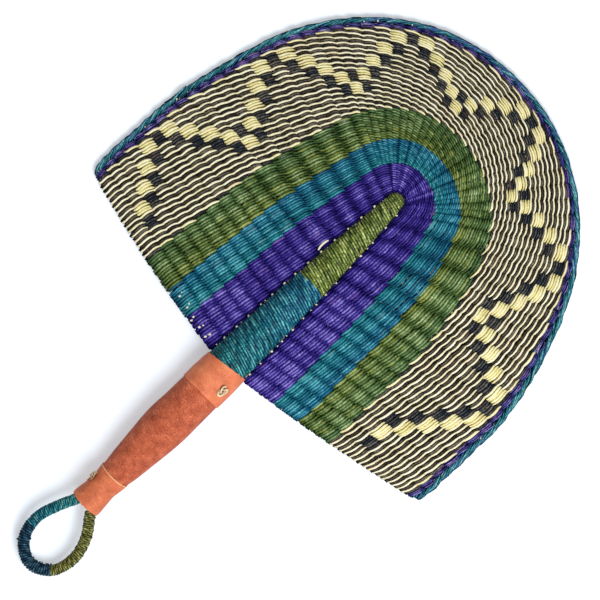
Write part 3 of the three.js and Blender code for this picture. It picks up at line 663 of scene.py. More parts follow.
class RibField:
    """The ribs of one band of weft, each over one or more straws, as a surface to lay strands on."""

    def __init__(self, plan: FanPlan, groups: Sequence[int]) -> None:
        """Works out the lines that bound and crown each rib.

        Args:
            plan: The fan's layout.
            groups: How many straws each rib covers, from the left foot round to the right.
        """
        self.plan = plan
        self.firsts = np.concatenate([[0], np.cumsum(groups)[:-1]])
        self.groups = np.array(groups)
        roots, ends = plan.straw_lines()
        foot = np.array([plan.foot_radius + plan.gap, plan.gap])
        corner = np.array([plan.half_width, plan.corner_rise])
        mirror = np.array([-1.0, 1.0])

        def valleys(points: np.ndarray, edge: np.ndarray, shift: tuple[float, float]) -> np.ndarray:
            """Middles between neighbouring straws, with the lower edge at both ends."""
            between = (points[:-1] + points[1:]) / 2
            return np.concatenate([[edge * mirror], between, [edge + np.array(shift)]])

        self.valleys = [
            valleys(roots, foot, (0.0, plan.right_lift)),
            valleys(ends, corner, (-plan.right_tuck, 2 * plan.right_lift)),
        ]
        self.crowns = [
            np.array([
                line[a:a + n].mean(0) for a, n in zip(self.firsts, self.groups)
            ]) for line in (roots, ends)
        ]
        self.sag = np.zeros(plan.straws + 1)
        self.sag[[0, -1]] = plan.foot_sag, plan.foot_sag - plan.right_lift

    def _line(self, ends: Sequence[np.ndarray], which: np.ndarray, share: np.ndarray) -> np.ndarray:
        """Points on straight lines.

        Args:
            ends: The lines' points at the spine and at the rim.
            which: Numbers of the lines, one for each rib.
            share: Share of the way from spine to rim, by rib, row and step.

        Returns:
            Points, across and up, by rib, row and step.
        """
        near, far = ends[0][which], ends[1][which]
        near, far = (v[:, None, None, :] for v in (near, far))
        return near + (far - near) * share[..., None]

    def point(self, across: np.ndarray, share: np.ndarray, lift: np.ndarray) -> np.ndarray:
        """Places points on the ribs.

        Args:
            across: 0 at a rib's left valley to 1 at its right one, by rib, row and step.
            share: Share of the way from spine to rim, likewise.
            lift: Height above the blade's middle surface, likewise.

        Returns:
            Points in millimetres, by rib, row and step.
        """
        left, right = self.firsts, self.firsts + self.groups
        first, broad = (v[:, None, None] for v in (self.firsts, self.groups))
        share = self.plan.weft_drift(first + across * broad - 0.5, share)
        bounds = []
        for which in (left, right):
            edge = self._line(self.valleys, which, share)
            edge[..., 1] -= self.sag[which][:, None, None] * 4 * share * (1 - share)
            bounds.append(edge)
        crown = self._line(self.crowns, np.arange(len(self.groups)), share)
        t = across[..., None]
        flat = bounds[0] * (1 - t) + bounds[1] * t
        flat = flat + (crown - (bounds[0] + bounds[1]) / 2) * 4 * t * (1 - t)
        height = self.plan.middle_height(share) + lift
        return np.concatenate([flat, height[..., None]], -1)

    def lengths(self) -> np.ndarray:
        """Length of each rib from spine to rim."""
        return np.linalg.norm(self.crowns[1] - self.crowns[0], axis=1)


# Strands

STRAND_SIDES = 6
STRAND_VALUES = ("tone", "tuck", "reach", "stray")
# Painted shade: how fast it rises from a strand's crest to its flanks, and how much lies on wound strands.
FOLD_SHADE_SPREAD = 1.1
WOUND_TUCK_SHADE = 0.15


def section_angles(sides: int) -> np.ndarray:
    """Angles of the corners of a strand's section, the first one at the strand's back."""
    return 2 * math.pi * np.arange(sides) / sides - math.pi / 2


def rings_along(
    path: np.ndarray, outward: np.ndarray, width: np.ndarray, thickness: np.ndarray,
    sides: int = STRAND_SIDES,
) -> np.ndarray:
    """Puts a rounded section round each point of many paths.

    Args:
        path: Points, by strand and step.
        outward: The way that the strand's crest faces, at each point or all over.
        width: Width across the strand, by strand and step or by step alone.
        thickness: Thickness, likewise.
        sides: Corners of a section, the first one at the back of the strand.

    Returns:
        Points by strand, step and corner, turning anticlockwise about the path.
    """
    outward = np.broadcast_to(outward, path.shape)
    width, thickness = (np.broadcast_to(v, path.shape[:2])[..., None] for v in (width, thickness))
    beside = np.cross(outward, np.gradient(path, axis=1))
    beside /= np.linalg.norm(beside, axis=-1, keepdims=True)
    turn = section_angles(sides)
    fuller = 1 / max(abs(math.cos(a)) for a in turn)
    out = outward[:, :, None, :] * (np.sin(turn) * thickness / 2)[..., None]
    side = beside[:, :, None, :] * (np.cos(turn) * fuller * width / 2)[..., None]
    return path[:, :, None, :] + out + side


@dataclass
class StrandSheet:
    """Closed strands gathered into one piece, with the values that their dye reads."""

    name: str
    batches: list[tuple[np.ndarray, dict[str, np.ndarray]]] = field(default_factory=list)

    def add(self, rings: np.ndarray, **values: np.ndarray | float) -> None:
        """Adds strands of one kind.

        Args:
            rings: Points by strand, step and corner.
            **values: Tone, painted tuck shade, reach and stray, by strand or by strand and step.
        """
        spread = {}
        for key in STRAND_VALUES:
            value = np.asarray(values.get(key, 0.0), float)
            value = value[:, None] if value.ndim == 1 else value
            spread[key] = np.broadcast_to(value, rings.shape[:2])
        self.batches.append((rings, spread))

    def add_wound(
        self, parts: Sequence[np.ndarray], steps: int, seed: int, strays: tuple[float, float]
    ) -> None:
        """Adds one long wound strand, whose tone and stray colour change every half turn.

        Args:
            parts: Its points, the way it faces, and its width and thickness at each point.
            steps: Its steps to a turn.
            seed: Seed for its tones.
            strays: The luck above which a stretch has stray colour, and how much it has.
        """
        hand = np.random.default_rng(seed)
        turn = np.arange(parts[0].shape[1]) / steps
        places = np.arange(0, turn[-1] + 2, 0.5)
        tone, luck = (np.interp(turn, places, hand.random(len(places))) for _ in range(2))
        stray = (luck > strays[0]) * strays[1]
        self.add(
            rings_along(*parts), tone=tone[None], tuck=WOUND_TUCK_SHADE, reach=(turn / turn[-1])[None],
            stray=stray[None],
        )

    @staticmethod
    def faces(index: np.ndarray) -> list[list[int]]:
        """Lists the faces of closed strands: quads along each one and a cap at both ends.

        Args:
            index: Numbers of the points, by strand, step and corner.

        Returns:
            The numbers of each face's points.
        """
        beside = np.roll(index, -1, axis=2)
        quads = np.stack([index[:, :-1], beside[:, :-1], beside[:, 1:], index[:, 1:]], -1)
        return quads.reshape(-1, 4).tolist() + index[:, 0, ::-1].tolist() + index[:, -1].tolist()

    @staticmethod
    def strand_map(rings: np.ndarray) -> list[np.ndarray]:
        """Maps closed strands: millimetres along each one and turns round it.

        Args:
            rings: Points by strand, step and corner.

        Returns:
            Map places in the order of the faces' corners.
        """
        count, _, sides, _ = rings.shape
        step = np.linalg.norm(np.diff(rings.mean(2), axis=1), axis=-1)
        along = np.concatenate([np.zeros((count, 1)), np.cumsum(step, 1)], 1)
        corner = np.stack(np.broadcast_arrays(along[:, :, None], np.arange(sides + 1) / sides), -1)
        quads = np.stack([
            corner[:, :-1, :-1], corner[:, :-1, 1:], corner[:, 1:, 1:], corner[:, 1:, :-1],
        ], 3)
        return [part.reshape(-1, 2) for part in (quads, corner[:, 0, -2::-1], corner[:, -1, :-1])]

    def piece(self, foot: float) -> bpy.types.Object:
        """Builds the mesh, with a map that runs along and round each strand.

        Args:
            foot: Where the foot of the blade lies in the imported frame, in metres.

        Returns:
            The new object.
        """
        points, faces, places, start = [], [], [], 0
        values = {key: [] for key in (*STRAND_VALUES, "fold_shade")}
        for rings, spread in self.batches:
            sides = rings.shape[2]
            index = start + np.arange(rings.size // 3).reshape(rings.shape[:3])
            start += index.size
            points.append(rings.reshape(-1, 3))
            faces += self.faces(index)
            places += self.strand_map(rings)
            for key, value in spread.items():
                values[key].append(np.repeat(value.reshape(-1), sides))
            # Painted shade: 0 on each strand's crest, 1 on its flanks and back; the crest reads as a painted
            # highlight.
            fold_shade = np.clip((1 - np.sin(section_angles(sides))) / FOLD_SHADE_SPREAD, 0, 1)
            values["fold_shade"].append(np.tile(fold_shade, index.size // sides))
        where = np.concatenate(points) / METRE
        where[:, 1] += foot
        mesh = bpy.data.meshes.new(self.name)
        mesh.from_pydata(where.tolist(), [], faces)
        layer = mesh.uv_layers.new(name="strand")
        layer.data.foreach_set("uv", np.concatenate(places).reshape(-1))
        for key, parts in values.items():
            attribute = mesh.attributes.new(key, "FLOAT", "POINT")
            attribute.data.foreach_set("value", np.concatenate(parts).astype(np.float32))
        mesh.shade_smooth()
        made = bpy.data.objects.new(self.name, mesh)
        bpy.context.scene.collection.objects.link(made)
        return made


@dataclass
class Workshop:
    """What every sub-assembly needs: the layout, the finishes and the place of the blade's foot in metres."""

    plan: FanPlan
    finishes: FanFinishes
    foot: float
    materials: dict[str, bpy.types.Material] = field(default_factory=dict)

    def dye(self, finish: StrawDye | BareStraw | GoatLeather) -> bpy.types.Material:
        """Gives the material of a finish, made once.

        Args:
            finish: The finish.

        Returns:
            Its material.
        """
        if finish.name not in self.materials:
            self.materials[finish.name] = finish.material()
        return self.materials[finish.name]

    def fit(
        self, piece: bpy.types.Object, finish: StrawDye | GoatLeather, slot: str, *nodes: str
    ) -> None:
        """Dresses a new piece, hides the solids that it stands for, and lets it ride on the fan.

        Args:
            piece: The new object.
            finish: Its finish.
            slot: The record's slot for that finish; not used.
            *nodes: The solids that it stands for.
        """
        piece.data.materials.clear()
        piece.data.materials.append(self.dye(finish))
        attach(piece, "root")
        if nodes:
            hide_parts(*nodes)
        log.info("%s: %d faces", piece.name, len(piece.data.polygons))

    def fit_strands(self, sheet: StrandSheet, finish: StrawDye, slot: str, *nodes: str) -> None:
        """Builds a sheet of strands and fits it as a new piece."""
        self.fit(sheet.piece(self.foot), finish, slot, *nodes)


# Blade

TURN_STEPS = np.array([0.0, 0.1, 0.3, 0.5, 0.7, 0.9, 1.0])
TURN_ENDS = np.array([1.0, 0, 0, 0, 0, 0, 1.0])
TURN_WAYS = np.array([-1.0, 0, 0, 0, 0, 0, 1.0])
TURN_START = np.array([1.0, 0.25, 0, 0, 0, 0, 0])
TURN_WIDTHS = np.array([0, 0.93, 1.0, 1.02, 1.02, 0.95, 0])
TURN_DEPTHS = np.array([0, 0.92, 1, 1, 1, 0.92, 0])
TURN_SHADOW = np.array([1.1, 0.65, 0.12, 0.0, 0.1, 0.6, 1.1])
PAIRED_SHADOW = np.array([1.25, 1.1, 0.3, 0.0, 0.25, 1.0, 1.25])


class Face(Enum):
    """The two faces of the blade."""

    FRONT = 1
    BACK = -1


@dataclass(frozen=True)
class WeftBand:
    """One band of twined weft and how its turns lie.

    Slant, bow and breadth are in rows, the reach past a rib's valleys in ribs, and heights in millimetres
    above the blade's middle surface. Spreads are the hand's unevenness in the same units. Steepness is a
    slant's share at the crest and what it gains with the square of the way from there.
    """

    name: str
    inner: float
    outer: float
    rows: int
    groups: tuple[int, ...]
    slant: float
    bow: float
    valley: float = 0.25
    crest: float = 1.75
    flat_from: int = 0
    flat_to: int = 0
    flat_valley: float = 1.2
    flat_crest: float = 1.5
    thickness: float = 1.6
    breadth: float = 1.03
    past_valley: float = 0.07
    flat_past: float = 0.2
    end_dip: float = 0.55
    flat_end_dip: float = 0.25
    taper: float = 0.82
    flat_taper: float = 0.5
    end_depth: float = 0.8
    flat_slant: float = 1.0
    flat_rise: float = 0.0
    fullness: float = 0.75
    paired_fullness: float = 1.4
    knob: float = 0.02
    second_knob: float = 0.07
    knob_spread: float = 0.05
    knob_sinking: float = 0.75
    unevenness: float = 0.07
    rib_spread: float = 0.05
    slant_spread: float = 0.12
    height_spread: float = 0.09
    breadth_spread: float = 0.05
    runs_on: bool = False
    shadow: float = 1.0
    flat_shadow: float = 0.45
    # Painted shade along whole ribs, at random and in alternate darker lanes near the crown.
    lane_shade: float = 1.0
    middle_straws: float = 13.0
    seam_shadow: float = 0.0
    seam_rows: float = 0.6
    paired_steepness: tuple[float, float] = (0.6, 5.6)
    run_steepness: tuple[float, float] = (0.6, 1.6)
    seed: int = 1

    def turns(
        self, plan: FanPlan, face: Face, breadth: np.ndarray | float = 1.0
    ) -> tuple[np.ndarray, np.ndarray, np.ndarray]:
        """Lays one turn of strand over every rib in every row.

        Args:
            plan: The fan's layout.
            face: The face of the blade.
            breadth: How much broader than usual each turn is, by rib and row.

        Returns:
            Rings by rib and row, the row's share of the band, and random numbers for each turn.
        """
        ribs = RibField(plan, self.groups)
        hand = np.random.default_rng(self.seed * 2 + face.value)
        pitch = (self.outer - self.inner) / self.rows
        row = self.inner + pitch * (np.arange(self.rows) + 0.5)
        across, rim = self._across()
        share = row[None, :, None] + pitch * self._lean(across, face, hand)
        lift = self._lift(across, hand) * (1 - self.knob_sinking * rim)
        path = ribs.point(across, np.clip(share, 0.0, 1.0), lift * face.value)
        wide = ribs.lengths()[:, None, None] * pitch * self.breadth
        uneven = 1 + hand.normal(0, self.breadth_spread, (*rim.shape[:2], 1))
        taper = np.where(self._kinds()[0], self.flat_taper, self.taper) * (1 - rim) + rim
        wide = wide * uneven * np.atleast_3d(breadth) * (TURN_WIDTHS + TURN_ENDS * taper)
        depth = self.thickness * (TURN_DEPTHS + TURN_ENDS * self.end_depth * taper)
        size = len(self.groups) * self.rows
        path, wide, depth = (v.reshape(size, len(TURN_STEPS), *v.shape[3:]) for v in (path, wide, depth))
        rings = rings_along(path, UP * face.value, wide, depth)
        reach = np.broadcast_to((np.arange(self.rows) + 0.5) / self.rows, rim.shape[:2])
        return rings, reach.reshape(size), hand.random((size, 3))

    def is_flat(self, rib: np.ndarray) -> np.ndarray:
        """Tells which ribs lie in the flatter stretch."""
        return (rib >= self.flat_from) & (rib < self.flat_to)

    def _kinds(self) -> tuple[np.ndarray, np.ndarray]:
        """Tells which ribs are flat, and which of the others cover two straws, by rib, row and step."""
        flat = self.is_flat(np.arange(len(self.groups)))[:, None, None]
        return flat, (np.array(self.groups) > 1)[:, None, None] & ~flat

    def _across(self) -> tuple[np.ndarray, np.ndarray]:
        """Spaces each turn's steps over its rib and lets it reach into its neighbours' valleys.

        The first and last ribs' turns go round the last straw as knobs, in turn a little larger and smaller.

        Returns:
            Each step's place across its rib, and 1 where it goes round a last straw.
        """
        flat, _ = self._kinds()
        past = np.where(flat, self.flat_past, self.past_valley) * TURN_ENDS
        rim = np.zeros((len(self.groups), self.rows, len(TURN_STEPS)))
        rim[0, :, 0] = rim[-1, :, -1] = 1.0
        hand = np.random.default_rng(self.seed + 300)
        knob = self.knob + self.second_knob * (np.arange(self.rows) % 2)
        knob = knob + hand.uniform(0, self.knob_spread, self.rows)
        return TURN_STEPS + np.where(rim > 0, knob[None, :, None], past) * TURN_WAYS, rim

    def _lean(self, across: np.ndarray, face: Face, hand: np.random.Generator) -> np.ndarray:
        """Slants and bows the turns over their ribs, with the hand's unevenness.

        Where turns run on, the two that meet in a valley share their unevenness there.

        Args:
            across: Each step's place across its rib.
            face: The face of the blade.
            hand: The seeded hand.

        Returns:
            How far each step lies out of its row, in rows.
        """
        count = len(self.groups)
        each = (count, self.rows, 1)
        flat, paired = self._kinds()
        away = 0.5 - across
        turn = across % 1.0
        wobble = hand.normal(0, self.unevenness, each) + hand.normal(0, self.rib_spread, (count, 1, 1))
        slant = face.value * self.slant * (1 + hand.normal(0, self.slant_spread, each))
        steep = np.where(paired, self.paired_steepness[0] + self.paired_steepness[1] * away ** 2, 1.0)
        valleys = hand.normal(0, 1.3 * self.unevenness, (count + 1, self.rows + count + 1))
        if self.runs_on:
            rib = np.arange(count)[:, None]
            lane = rib + np.arange(self.rows)
            left, right = (valleys[rib + side, lane][..., None] for side in (0, 1))
            wobble = left * (1 - across) + right * across
            slant = np.full_like(slant, face.value * self.slant)
            steep = self.run_steepness[0] + self.run_steepness[1] * away ** 2
            turn = np.clip(across, 0.0, 1.0)
        slant = slant * np.where(flat, self.flat_slant, 1.0)
        arch = 4 * turn * (1 - turn)
        return wobble + (slant * steep * away + self.bow * arch * (1 + 0.25 * (0.5 - turn)))

    def _lift(self, across: np.ndarray, hand: np.random.Generator) -> np.ndarray:
        """Raises the turns over their ribs and dips their ends.

        Args:
            across: Each step's place across its rib.
            hand: The seeded hand.

        Returns:
            Height of each step above the blade's middle surface.
        """
        flat, paired = self._kinds()
        valley = np.where(flat, self.flat_valley, self.valley)
        crest = np.where(flat, self.flat_crest, self.crest)
        fullness = np.where(paired, self.paired_fullness, self.fullness)
        dome = np.clip(np.sin(math.pi * np.clip(across, 0, 1)), 0, 1) ** fullness
        lift = valley + (crest - valley) * dome - TURN_ENDS * (self.end_dip + self.flat_end_dip * flat)
        lift = lift + flat * self.flat_rise * TURN_START
        return lift + hand.normal(0, self.height_spread, (len(self.groups), self.rows, 1))

    def tuck(self) -> np.ndarray:
        """How much painted shade each step of a turn gets: at its ends, all along darker ribs, and in the
        first rows.

        Returns:
            The painted shade, by turn and step.
        """
        groups = np.array(self.groups)
        flat = self.is_flat(np.arange(len(groups)))[:, None]
        steps = np.where(groups[:, None] > 1, PAIRED_SHADOW, TURN_SHADOW)
        steps = self.shadow * np.where(flat, self.flat_shadow * TURN_SHADOW, steps)
        straw = (np.cumsum(groups) - groups)[:, None] + TURN_STEPS * groups[:, None]
        hand = np.random.default_rng(self.seed + 200)
        edge = np.arange(int(groups.sum()) + 1)
        middle = np.exp(-(((edge - len(edge) / 2) / self.middle_straws) ** 4))
        shade_lowered = hand.uniform(-0.2, 0.2, len(edge))
        shade_lowered = shade_lowered + middle * (hand.uniform(-0.4, 0.5, len(edge)) + 0.7 * (edge % 2))
        steps = steps + self.lane_shade * np.interp(straw, edge, shade_lowered)
        first = self.seam_shadow * np.exp(-np.arange(self.rows) / self.seam_rows)
        return (steps[:, None, :] + first[None, :, None]).reshape(-1, len(TURN_STEPS))


@dataclass(frozen=True)
class BlockPattern:
    """The patterned band's zigzag of cream and near-black blocks on turned rows."""

    rows: int = 33
    first_block_row: int = 7
    rows_per_block: int = 5
    blocks: int = 5
    repeat: int = 10
    first_peak: int = 5

    def is_cream(self, straws: int) -> np.ndarray:
        """Tells which turns of the front face are cream.

        Args:
            straws: How many straws the band covers.

        Returns:
            True for cream, by straw and row.
        """
        straw, row = np.meshgrid(np.arange(straws), np.arange(self.rows), indexing="ij")
        cream = (straw + row) % 2 == 1
        block = (row - self.first_block_row) // self.rows_per_block
        inside = (row >= self.first_block_row) & (block < self.blocks)
        step = (straw - self.first_peak) % self.repeat
        away = np.minimum(step, self.repeat - step)
        top = self.blocks - 1
        dark_block = np.where(away < self.blocks, top - away, 1)
        pale_block = np.where(away > 0, self.blocks - away, -1)
        plain = (straw == 0) | (straw == straws - 1)
        late = (straw >= straws - 3) & (block > 0)
        usable = inside & ~plain & ~late
        cream = np.where(usable & (block == dark_block), False, cream)
        return np.where(usable & (block == pale_block), True, cream)

    def alike(self, cream: np.ndarray) -> np.ndarray:
        """Counts the neighbours of its own colour that each turn has: none in a stripe, two in a block."""
        beside = np.pad(cream, ((0, 0), (1, 1)), mode="edge")
        return (beside[:, :-2] == cream).astype(int) + (beside[:, 2:] == cream)


@dataclass
class Blade:
    """The woven blade: four bands of weft and two purple rows, with the straw ends at its foot."""

    shop: Workshop
    cream_breadths: tuple[float, ...] = (0.74, 0.9, 0.98)
    black_breadths: tuple[float, ...] = (1.2, 1.12, 1.02)
    foot_ends: tuple[tuple[float, float, float], ...] = (
        (-23.4, 6.7, 2.1), (-24.5, 3.5, 1.8), (-31.1, 7.7, 1.6), (-31.9, 5.1, 1.8), (-39.7, 7.0, 1.5),
        (-38.9, 4.4, 1.5), (-48.2, 11.0, 1.6), (-47.2, 8.4, 1.5), (-57.3, 12.9, 1.8), (-56.4, 10.2, 1.6),
    )
    foot_end_height: float = 2.1
    loose_straw: tuple[float, float] = (-13.1, 109.4)
    loose_length: float = 9.9
    loose_width: float = 1.5
    loose_height: float = 1.7

    def groups(self, crown: Sequence[int]) -> tuple[int, ...]:
        """Straws to a rib all round the blade, with the upper side straws two to a rib.

        Args:
            crown: Straws to a rib over the tip's straws, used in turn.

        Returns:
            The counts, from the left foot to the right.
        """
        plan = self.shop.plan
        side = [1] * plan.single_holes + [2] * plan.pair_holes
        top: list[int] = []
        while sum(top) < plan.tip_straws:
            top.append(min(crown[len(top) % len(crown)], plan.tip_straws - sum(top)))
        return tuple(side + top + side[::-1])

    def plain_band(
        self, band: WeftBand, finish: StrawDye, slot: str, node: str,
        strays: Callable[[np.ndarray, np.ndarray], np.ndarray],
    ) -> None:
        """Weaves a band of one colour on both faces.

        Args:
            band: The band.
            finish: Its dye.
            slot: The record's slot.
            node: The solid that it stands for.
            strays: Gives each turn's stray colour from its place in the band and a random number.
        """
        sheet = StrandSheet(band.name)
        for face in Face:
            rings, reach, luck = band.turns(self.shop.plan, face)
            stray = strays(reach, luck[:, 1])
            sheet.add(rings, tone=luck[:, 0], tuck=band.tuck(), reach=reach, stray=stray)
        self.shop.fit_strands(sheet, finish, slot, node)

    def patterned_band(self, band: WeftBand) -> None:
        """Weaves the band of cream and near-black turns, whose colours change places at the back.

        Args:
            band: The band, as its slim cream turns lie; the black ones lie lower and end blunt.
        """
        plan, finishes, pattern = self.shop.plan, self.shop.finishes, BlockPattern()
        front = pattern.is_cream(plan.straws)
        black_band = replace(band, valley=0.55, crest=1.62, end_dip=0.4, past_valley=0.08, taper=0.85)
        for face in Face:
            cream = front if face is Face.FRONT else ~front
            alike = pattern.alike(cream)
            for colour, here, lay, breadths, finish in (
                ("cream", cream, band, self.cream_breadths, finishes.cream),
                ("black", ~cream, black_band, self.black_breadths, finishes.black),
            ):
                rings, _, luck = lay.turns(plan, face, np.array(breadths)[alike])
                chosen = here.reshape(-1)
                sheet = StrandSheet(f"{band.name}_{colour}_{face.name.lower()}")
                sheet.add(
                    rings[chosen], tone=luck[chosen, 0], tuck=lay.tuck()[chosen],
                    reach=alike.reshape(-1)[chosen] / 2, stray=(luck[chosen, 1] > 0.9) * 0.5,
                )
                self.shop.fit_strands(sheet, finish, "straw_patterned", "weft_patterned")

    def foot_tips(self) -> None:
        """Sets the pale straw ends that show near the blade's left foot edge, and one beside the spine."""
        plan = self.shop.plan
        sheet = StrandSheet("foot_straw_ends")
        hand = np.random.default_rng(59)
        root = plan.foot_radius + plan.gap
        for x, y, wide in self.foot_ends:
            share = (abs(x) - root) / (plan.half_width - root)
            z = float(plan.middle_height(np.array(share))) + self.foot_end_height
            lean = hand.normal(0, 0.25)
            path = np.array([[x - 0.5, y - 0.8, z - 0.7], [x, y, z], [x + lean, y + 0.8, z - 0.1]])[None]
            width = wide * np.array([0.85, 1.0, 0.75])
            rings = rings_along(path, np.array([-0.3, 0.0, 0.9]), width, width * 0.8, 8)
            sheet.add(rings, tone=0.8, reach=0.5)
        down = np.linspace(0, 1, 9)
        bend = np.sin(math.pi * down)
        across, up = self.loose_straw
        level = plan.axis_height + self.loose_height + 0.7 * bend
        path = np.stack([across - 0.9 * bend, up - self.loose_length * down, level], -1)[None]
        width = self.loose_width * np.array([0.6, 0.85, 1, 1, 1, 1, 1, 0.9, 0.6])
        sheet.add(rings_along(path, UP, width, 0.8 * width, 8), tone=0.9, reach=0.5)
        self.shop.fit_strands(sheet, self.shop.finishes.natural, "straw_natural")

    def build(self) -> None:
        """Weaves the bands from the spine out."""
        plan, finishes = self.shop.plan, self.shop.finishes
        edges = [plan.band_edge(k) for k in range(len(plan.band_widths))]
        sides = plan.holes
        groups = self.groups((4, 3))
        self.plain_band(
            WeftBand(
                "weave_violet", edges[0] - 0.004, edges[1], 13, groups, 0.7, 0.12, flat_from=sides,
                flat_to=len(groups) - sides, flat_valley=1.35, flat_rise=0.5, past_valley=0.12, lane_shade=1.4,
                seam_shadow=1.6, seed=3,
            ),
            finishes.violet, "straw_purple", "weft_purple",
            lambda reach, luck: np.where(luck < 0.04 + 0.12 * (reach > 0.9), 0.45, 0.0),
        )
        groups = self.groups((1,))
        crown = {
            "flat_from": sides, "flat_to": len(groups) - sides, "flat_valley": 0.9, "flat_crest": 1.6,
            "flat_rise": 1.0, "past_valley": 0.12, "unevenness": 0.09,
        }
        self.plain_band(
            WeftBand(
                "weave_teal", edges[1], edges[2], 11, groups, 0.75, 0.14, flat_slant=1.2, seed=5, **crown,
            ),
            finishes.teal, "straw_teal", "weft_teal",
            lambda reach, luck: np.where(luck < 0.08, 0.45, 0.0),
        )
        self.plain_band(
            WeftBand(
                "weave_green", edges[2], edges[3], 12, groups, 0.8, 0.2, flat_slant=1.1, seed=7, **crown,
            ),
            finishes.green, "straw_green", "weft_green",
            lambda reach, luck: np.where(luck < 0.13 + 0.2 * (reach < 0.25), 0.4, 0.0),
        )
        self.patterned_band(WeftBand(
            "weave_patterned", edges[3], edges[4], BlockPattern.rows, (1,) * plan.straws, 1.0, 0.32,
            valley=0.95, crest=1.8, thickness=1.45, past_valley=0.22, end_dip=-0.1, taper=0.36,
            unevenness=0.085, runs_on=True, shadow=0.35, lane_shade=0.0, seed=11,
        ))
        self.plain_band(
            WeftBand(
                "edging_violet", edges[4], edges[5] - 0.005, 3, (1,) * plan.straws, 1.1, 0.4,
                valley=0.6, crest=1.6, thickness=1.3, breadth=0.98, unevenness=0.2, lane_shade=0.4, seed=13,
            ),
            finishes.rim_violet, "straw_purple", "rim_purple",
            lambda reach, luck: np.where(luck < 0.3, 0.7, 0.0),
        )


@dataclass
class Edging:
    """The twisted teal edging: slim, uneven, slanting strokes of strand, and pale straw tips between them.

    Starts, length and the gap at the corners are in straws, the inner overlap, scallop and spreads along
    the straws in shares of their length.
    """

    shop: Workshop
    starts: tuple[float, ...] = (-0.5, -0.17, 0.16, 0.49, 0.82)
    usual_starts: int = 3
    length: float = 1.6
    corner_gap: float = 0.04
    inner_overlap: float = 0.007
    scallop: float = 0.005
    inset: float = 0.001
    width: float = 1.5
    thickness: float = 1.7
    widths: tuple[float, ...] = (0.5, 0.9, 1, 1.05, 1, 0.85, 0.45)
    depths: tuple[float, ...] = (0.6, 0.9, 1, 1, 1, 0.9, 0.55)
    shadow: tuple[float, ...] = (1, 0.5, 0.1, 0, 0.1, 0.4, 0.9)
    start_spread: float = 0.05
    share_spread: float = 0.0018
    lift_spread: float = 0.16
    width_spread: float = 0.2
    crown_straws: float = 10.0
    tip_shares: tuple[float, ...] = (0.975, 0.99, 0.998, 1.004)
    tip_lifts: tuple[float, ...] = (0.2, 0.1, 0.0, -0.1)
    tip_widths: tuple[float, ...] = (1.0, 0.95, 0.8, 0.45)

    def strokes(self) -> None:
        """Lays three strokes to a straw on each face, and two more on the last straw."""
        plan, hand = self.shop.plan, np.random.default_rng(31)
        ribs = RibField(plan, (1,) * plan.straws)
        sheet = StrandSheet("edging_teal")
        inner = plan.band_edge(len(plan.band_widths) - 1) - self.inner_overlap
        each = (plan.straws, len(self.starts), 1)
        straw, number = np.divmod(np.arange(plan.straws * len(self.starts)), len(self.starts))
        kept = (number < self.usual_starts) | (straw == plan.straws - 1)
        crowned = np.exp(-(((straw - plan.straws / 2) / self.crown_straws) ** 2))
        left = -self.corner_gap - np.arange(plan.straws)[:, None, None]
        for face in Face:
            begin = np.array(self.starts)[None, :, None] + hand.normal(0, self.start_spread, each)
            start = np.maximum(begin, left)
            stop = np.minimum(begin + self.length, left + plan.straws - self.corner_gap)
            across = start + (stop - start) * np.linspace(0.0, 1.0, len(self.widths))
            gone = (across - begin) / self.length
            rise = np.sin(0.5 * math.pi * gone) ** 0.9
            over = np.sin(math.pi * (across % 1.0))
            share = inner + (1.0 - inner) * (0.06 + 0.8 * rise) + hand.normal(0, self.share_spread, each)
            share = share + self.scallop * over * rise - self.inset
            lift = 0.2 + 1.2 * np.sin(math.pi * gone).clip(0) ** 0.8 + 0.35 * over
            lift = lift - 0.5 * (face is Face.BACK) + hand.normal(0, self.lift_spread, each)
            path = ribs.point(across, share, lift * face.value).reshape(len(straw), -1, 3)
            width = hand.normal(self.width, self.width_spread, (len(straw), 1)) * np.array(self.widths)
            depth = self.thickness * np.array(self.depths)
            luck = hand.random((len(straw), 2))
            stray = (luck[:, 1] < 0.1 + 0.62 * crowned) * 0.85
            reach = hand.random(len(straw))
            sheet.add(
                rings_along(path, UP * face.value, width, depth)[kept], tone=luck[kept, 0],
                tuck=np.broadcast_to(self.shadow, (kept.sum(), len(self.shadow))), reach=reach[kept],
                stray=stray[kept],
            )
        self.shop.fit_strands(sheet, self.shop.finishes.rim_teal, "straw_teal", "rim_teal")

    def tips(self) -> None:
        """Sets the small pale straw tips that stick out between the strokes."""
        plan, hand = self.shop.plan, np.random.default_rng(47)
        each = (plan.straws, 1, 1)
        sheet = StrandSheet("edging_tips")
        across = hand.uniform(0.15, 0.4, each)
        share = np.array(self.tip_shares) + hand.normal(0, 0.001, each)
        lift = hand.uniform(0.2, 1.2, each) + np.array(self.tip_lifts)
        path = RibField(plan, (1,) * plan.straws).point(across, share, lift)[:, 0]
        path = path[hand.random(plan.straws) > 0.3]
        width = np.array(self.tip_widths)
        sheet.add(rings_along(path, UP, width, width), tone=hand.random(len(path)), reach=0.5)
        self.shop.fit_strands(sheet, self.shop.finishes.natural, "straw_natural")

    def build(self) -> None:
        """Lays the strokes and sets the tips."""
        self.strokes()
        self.tips()


# Windings


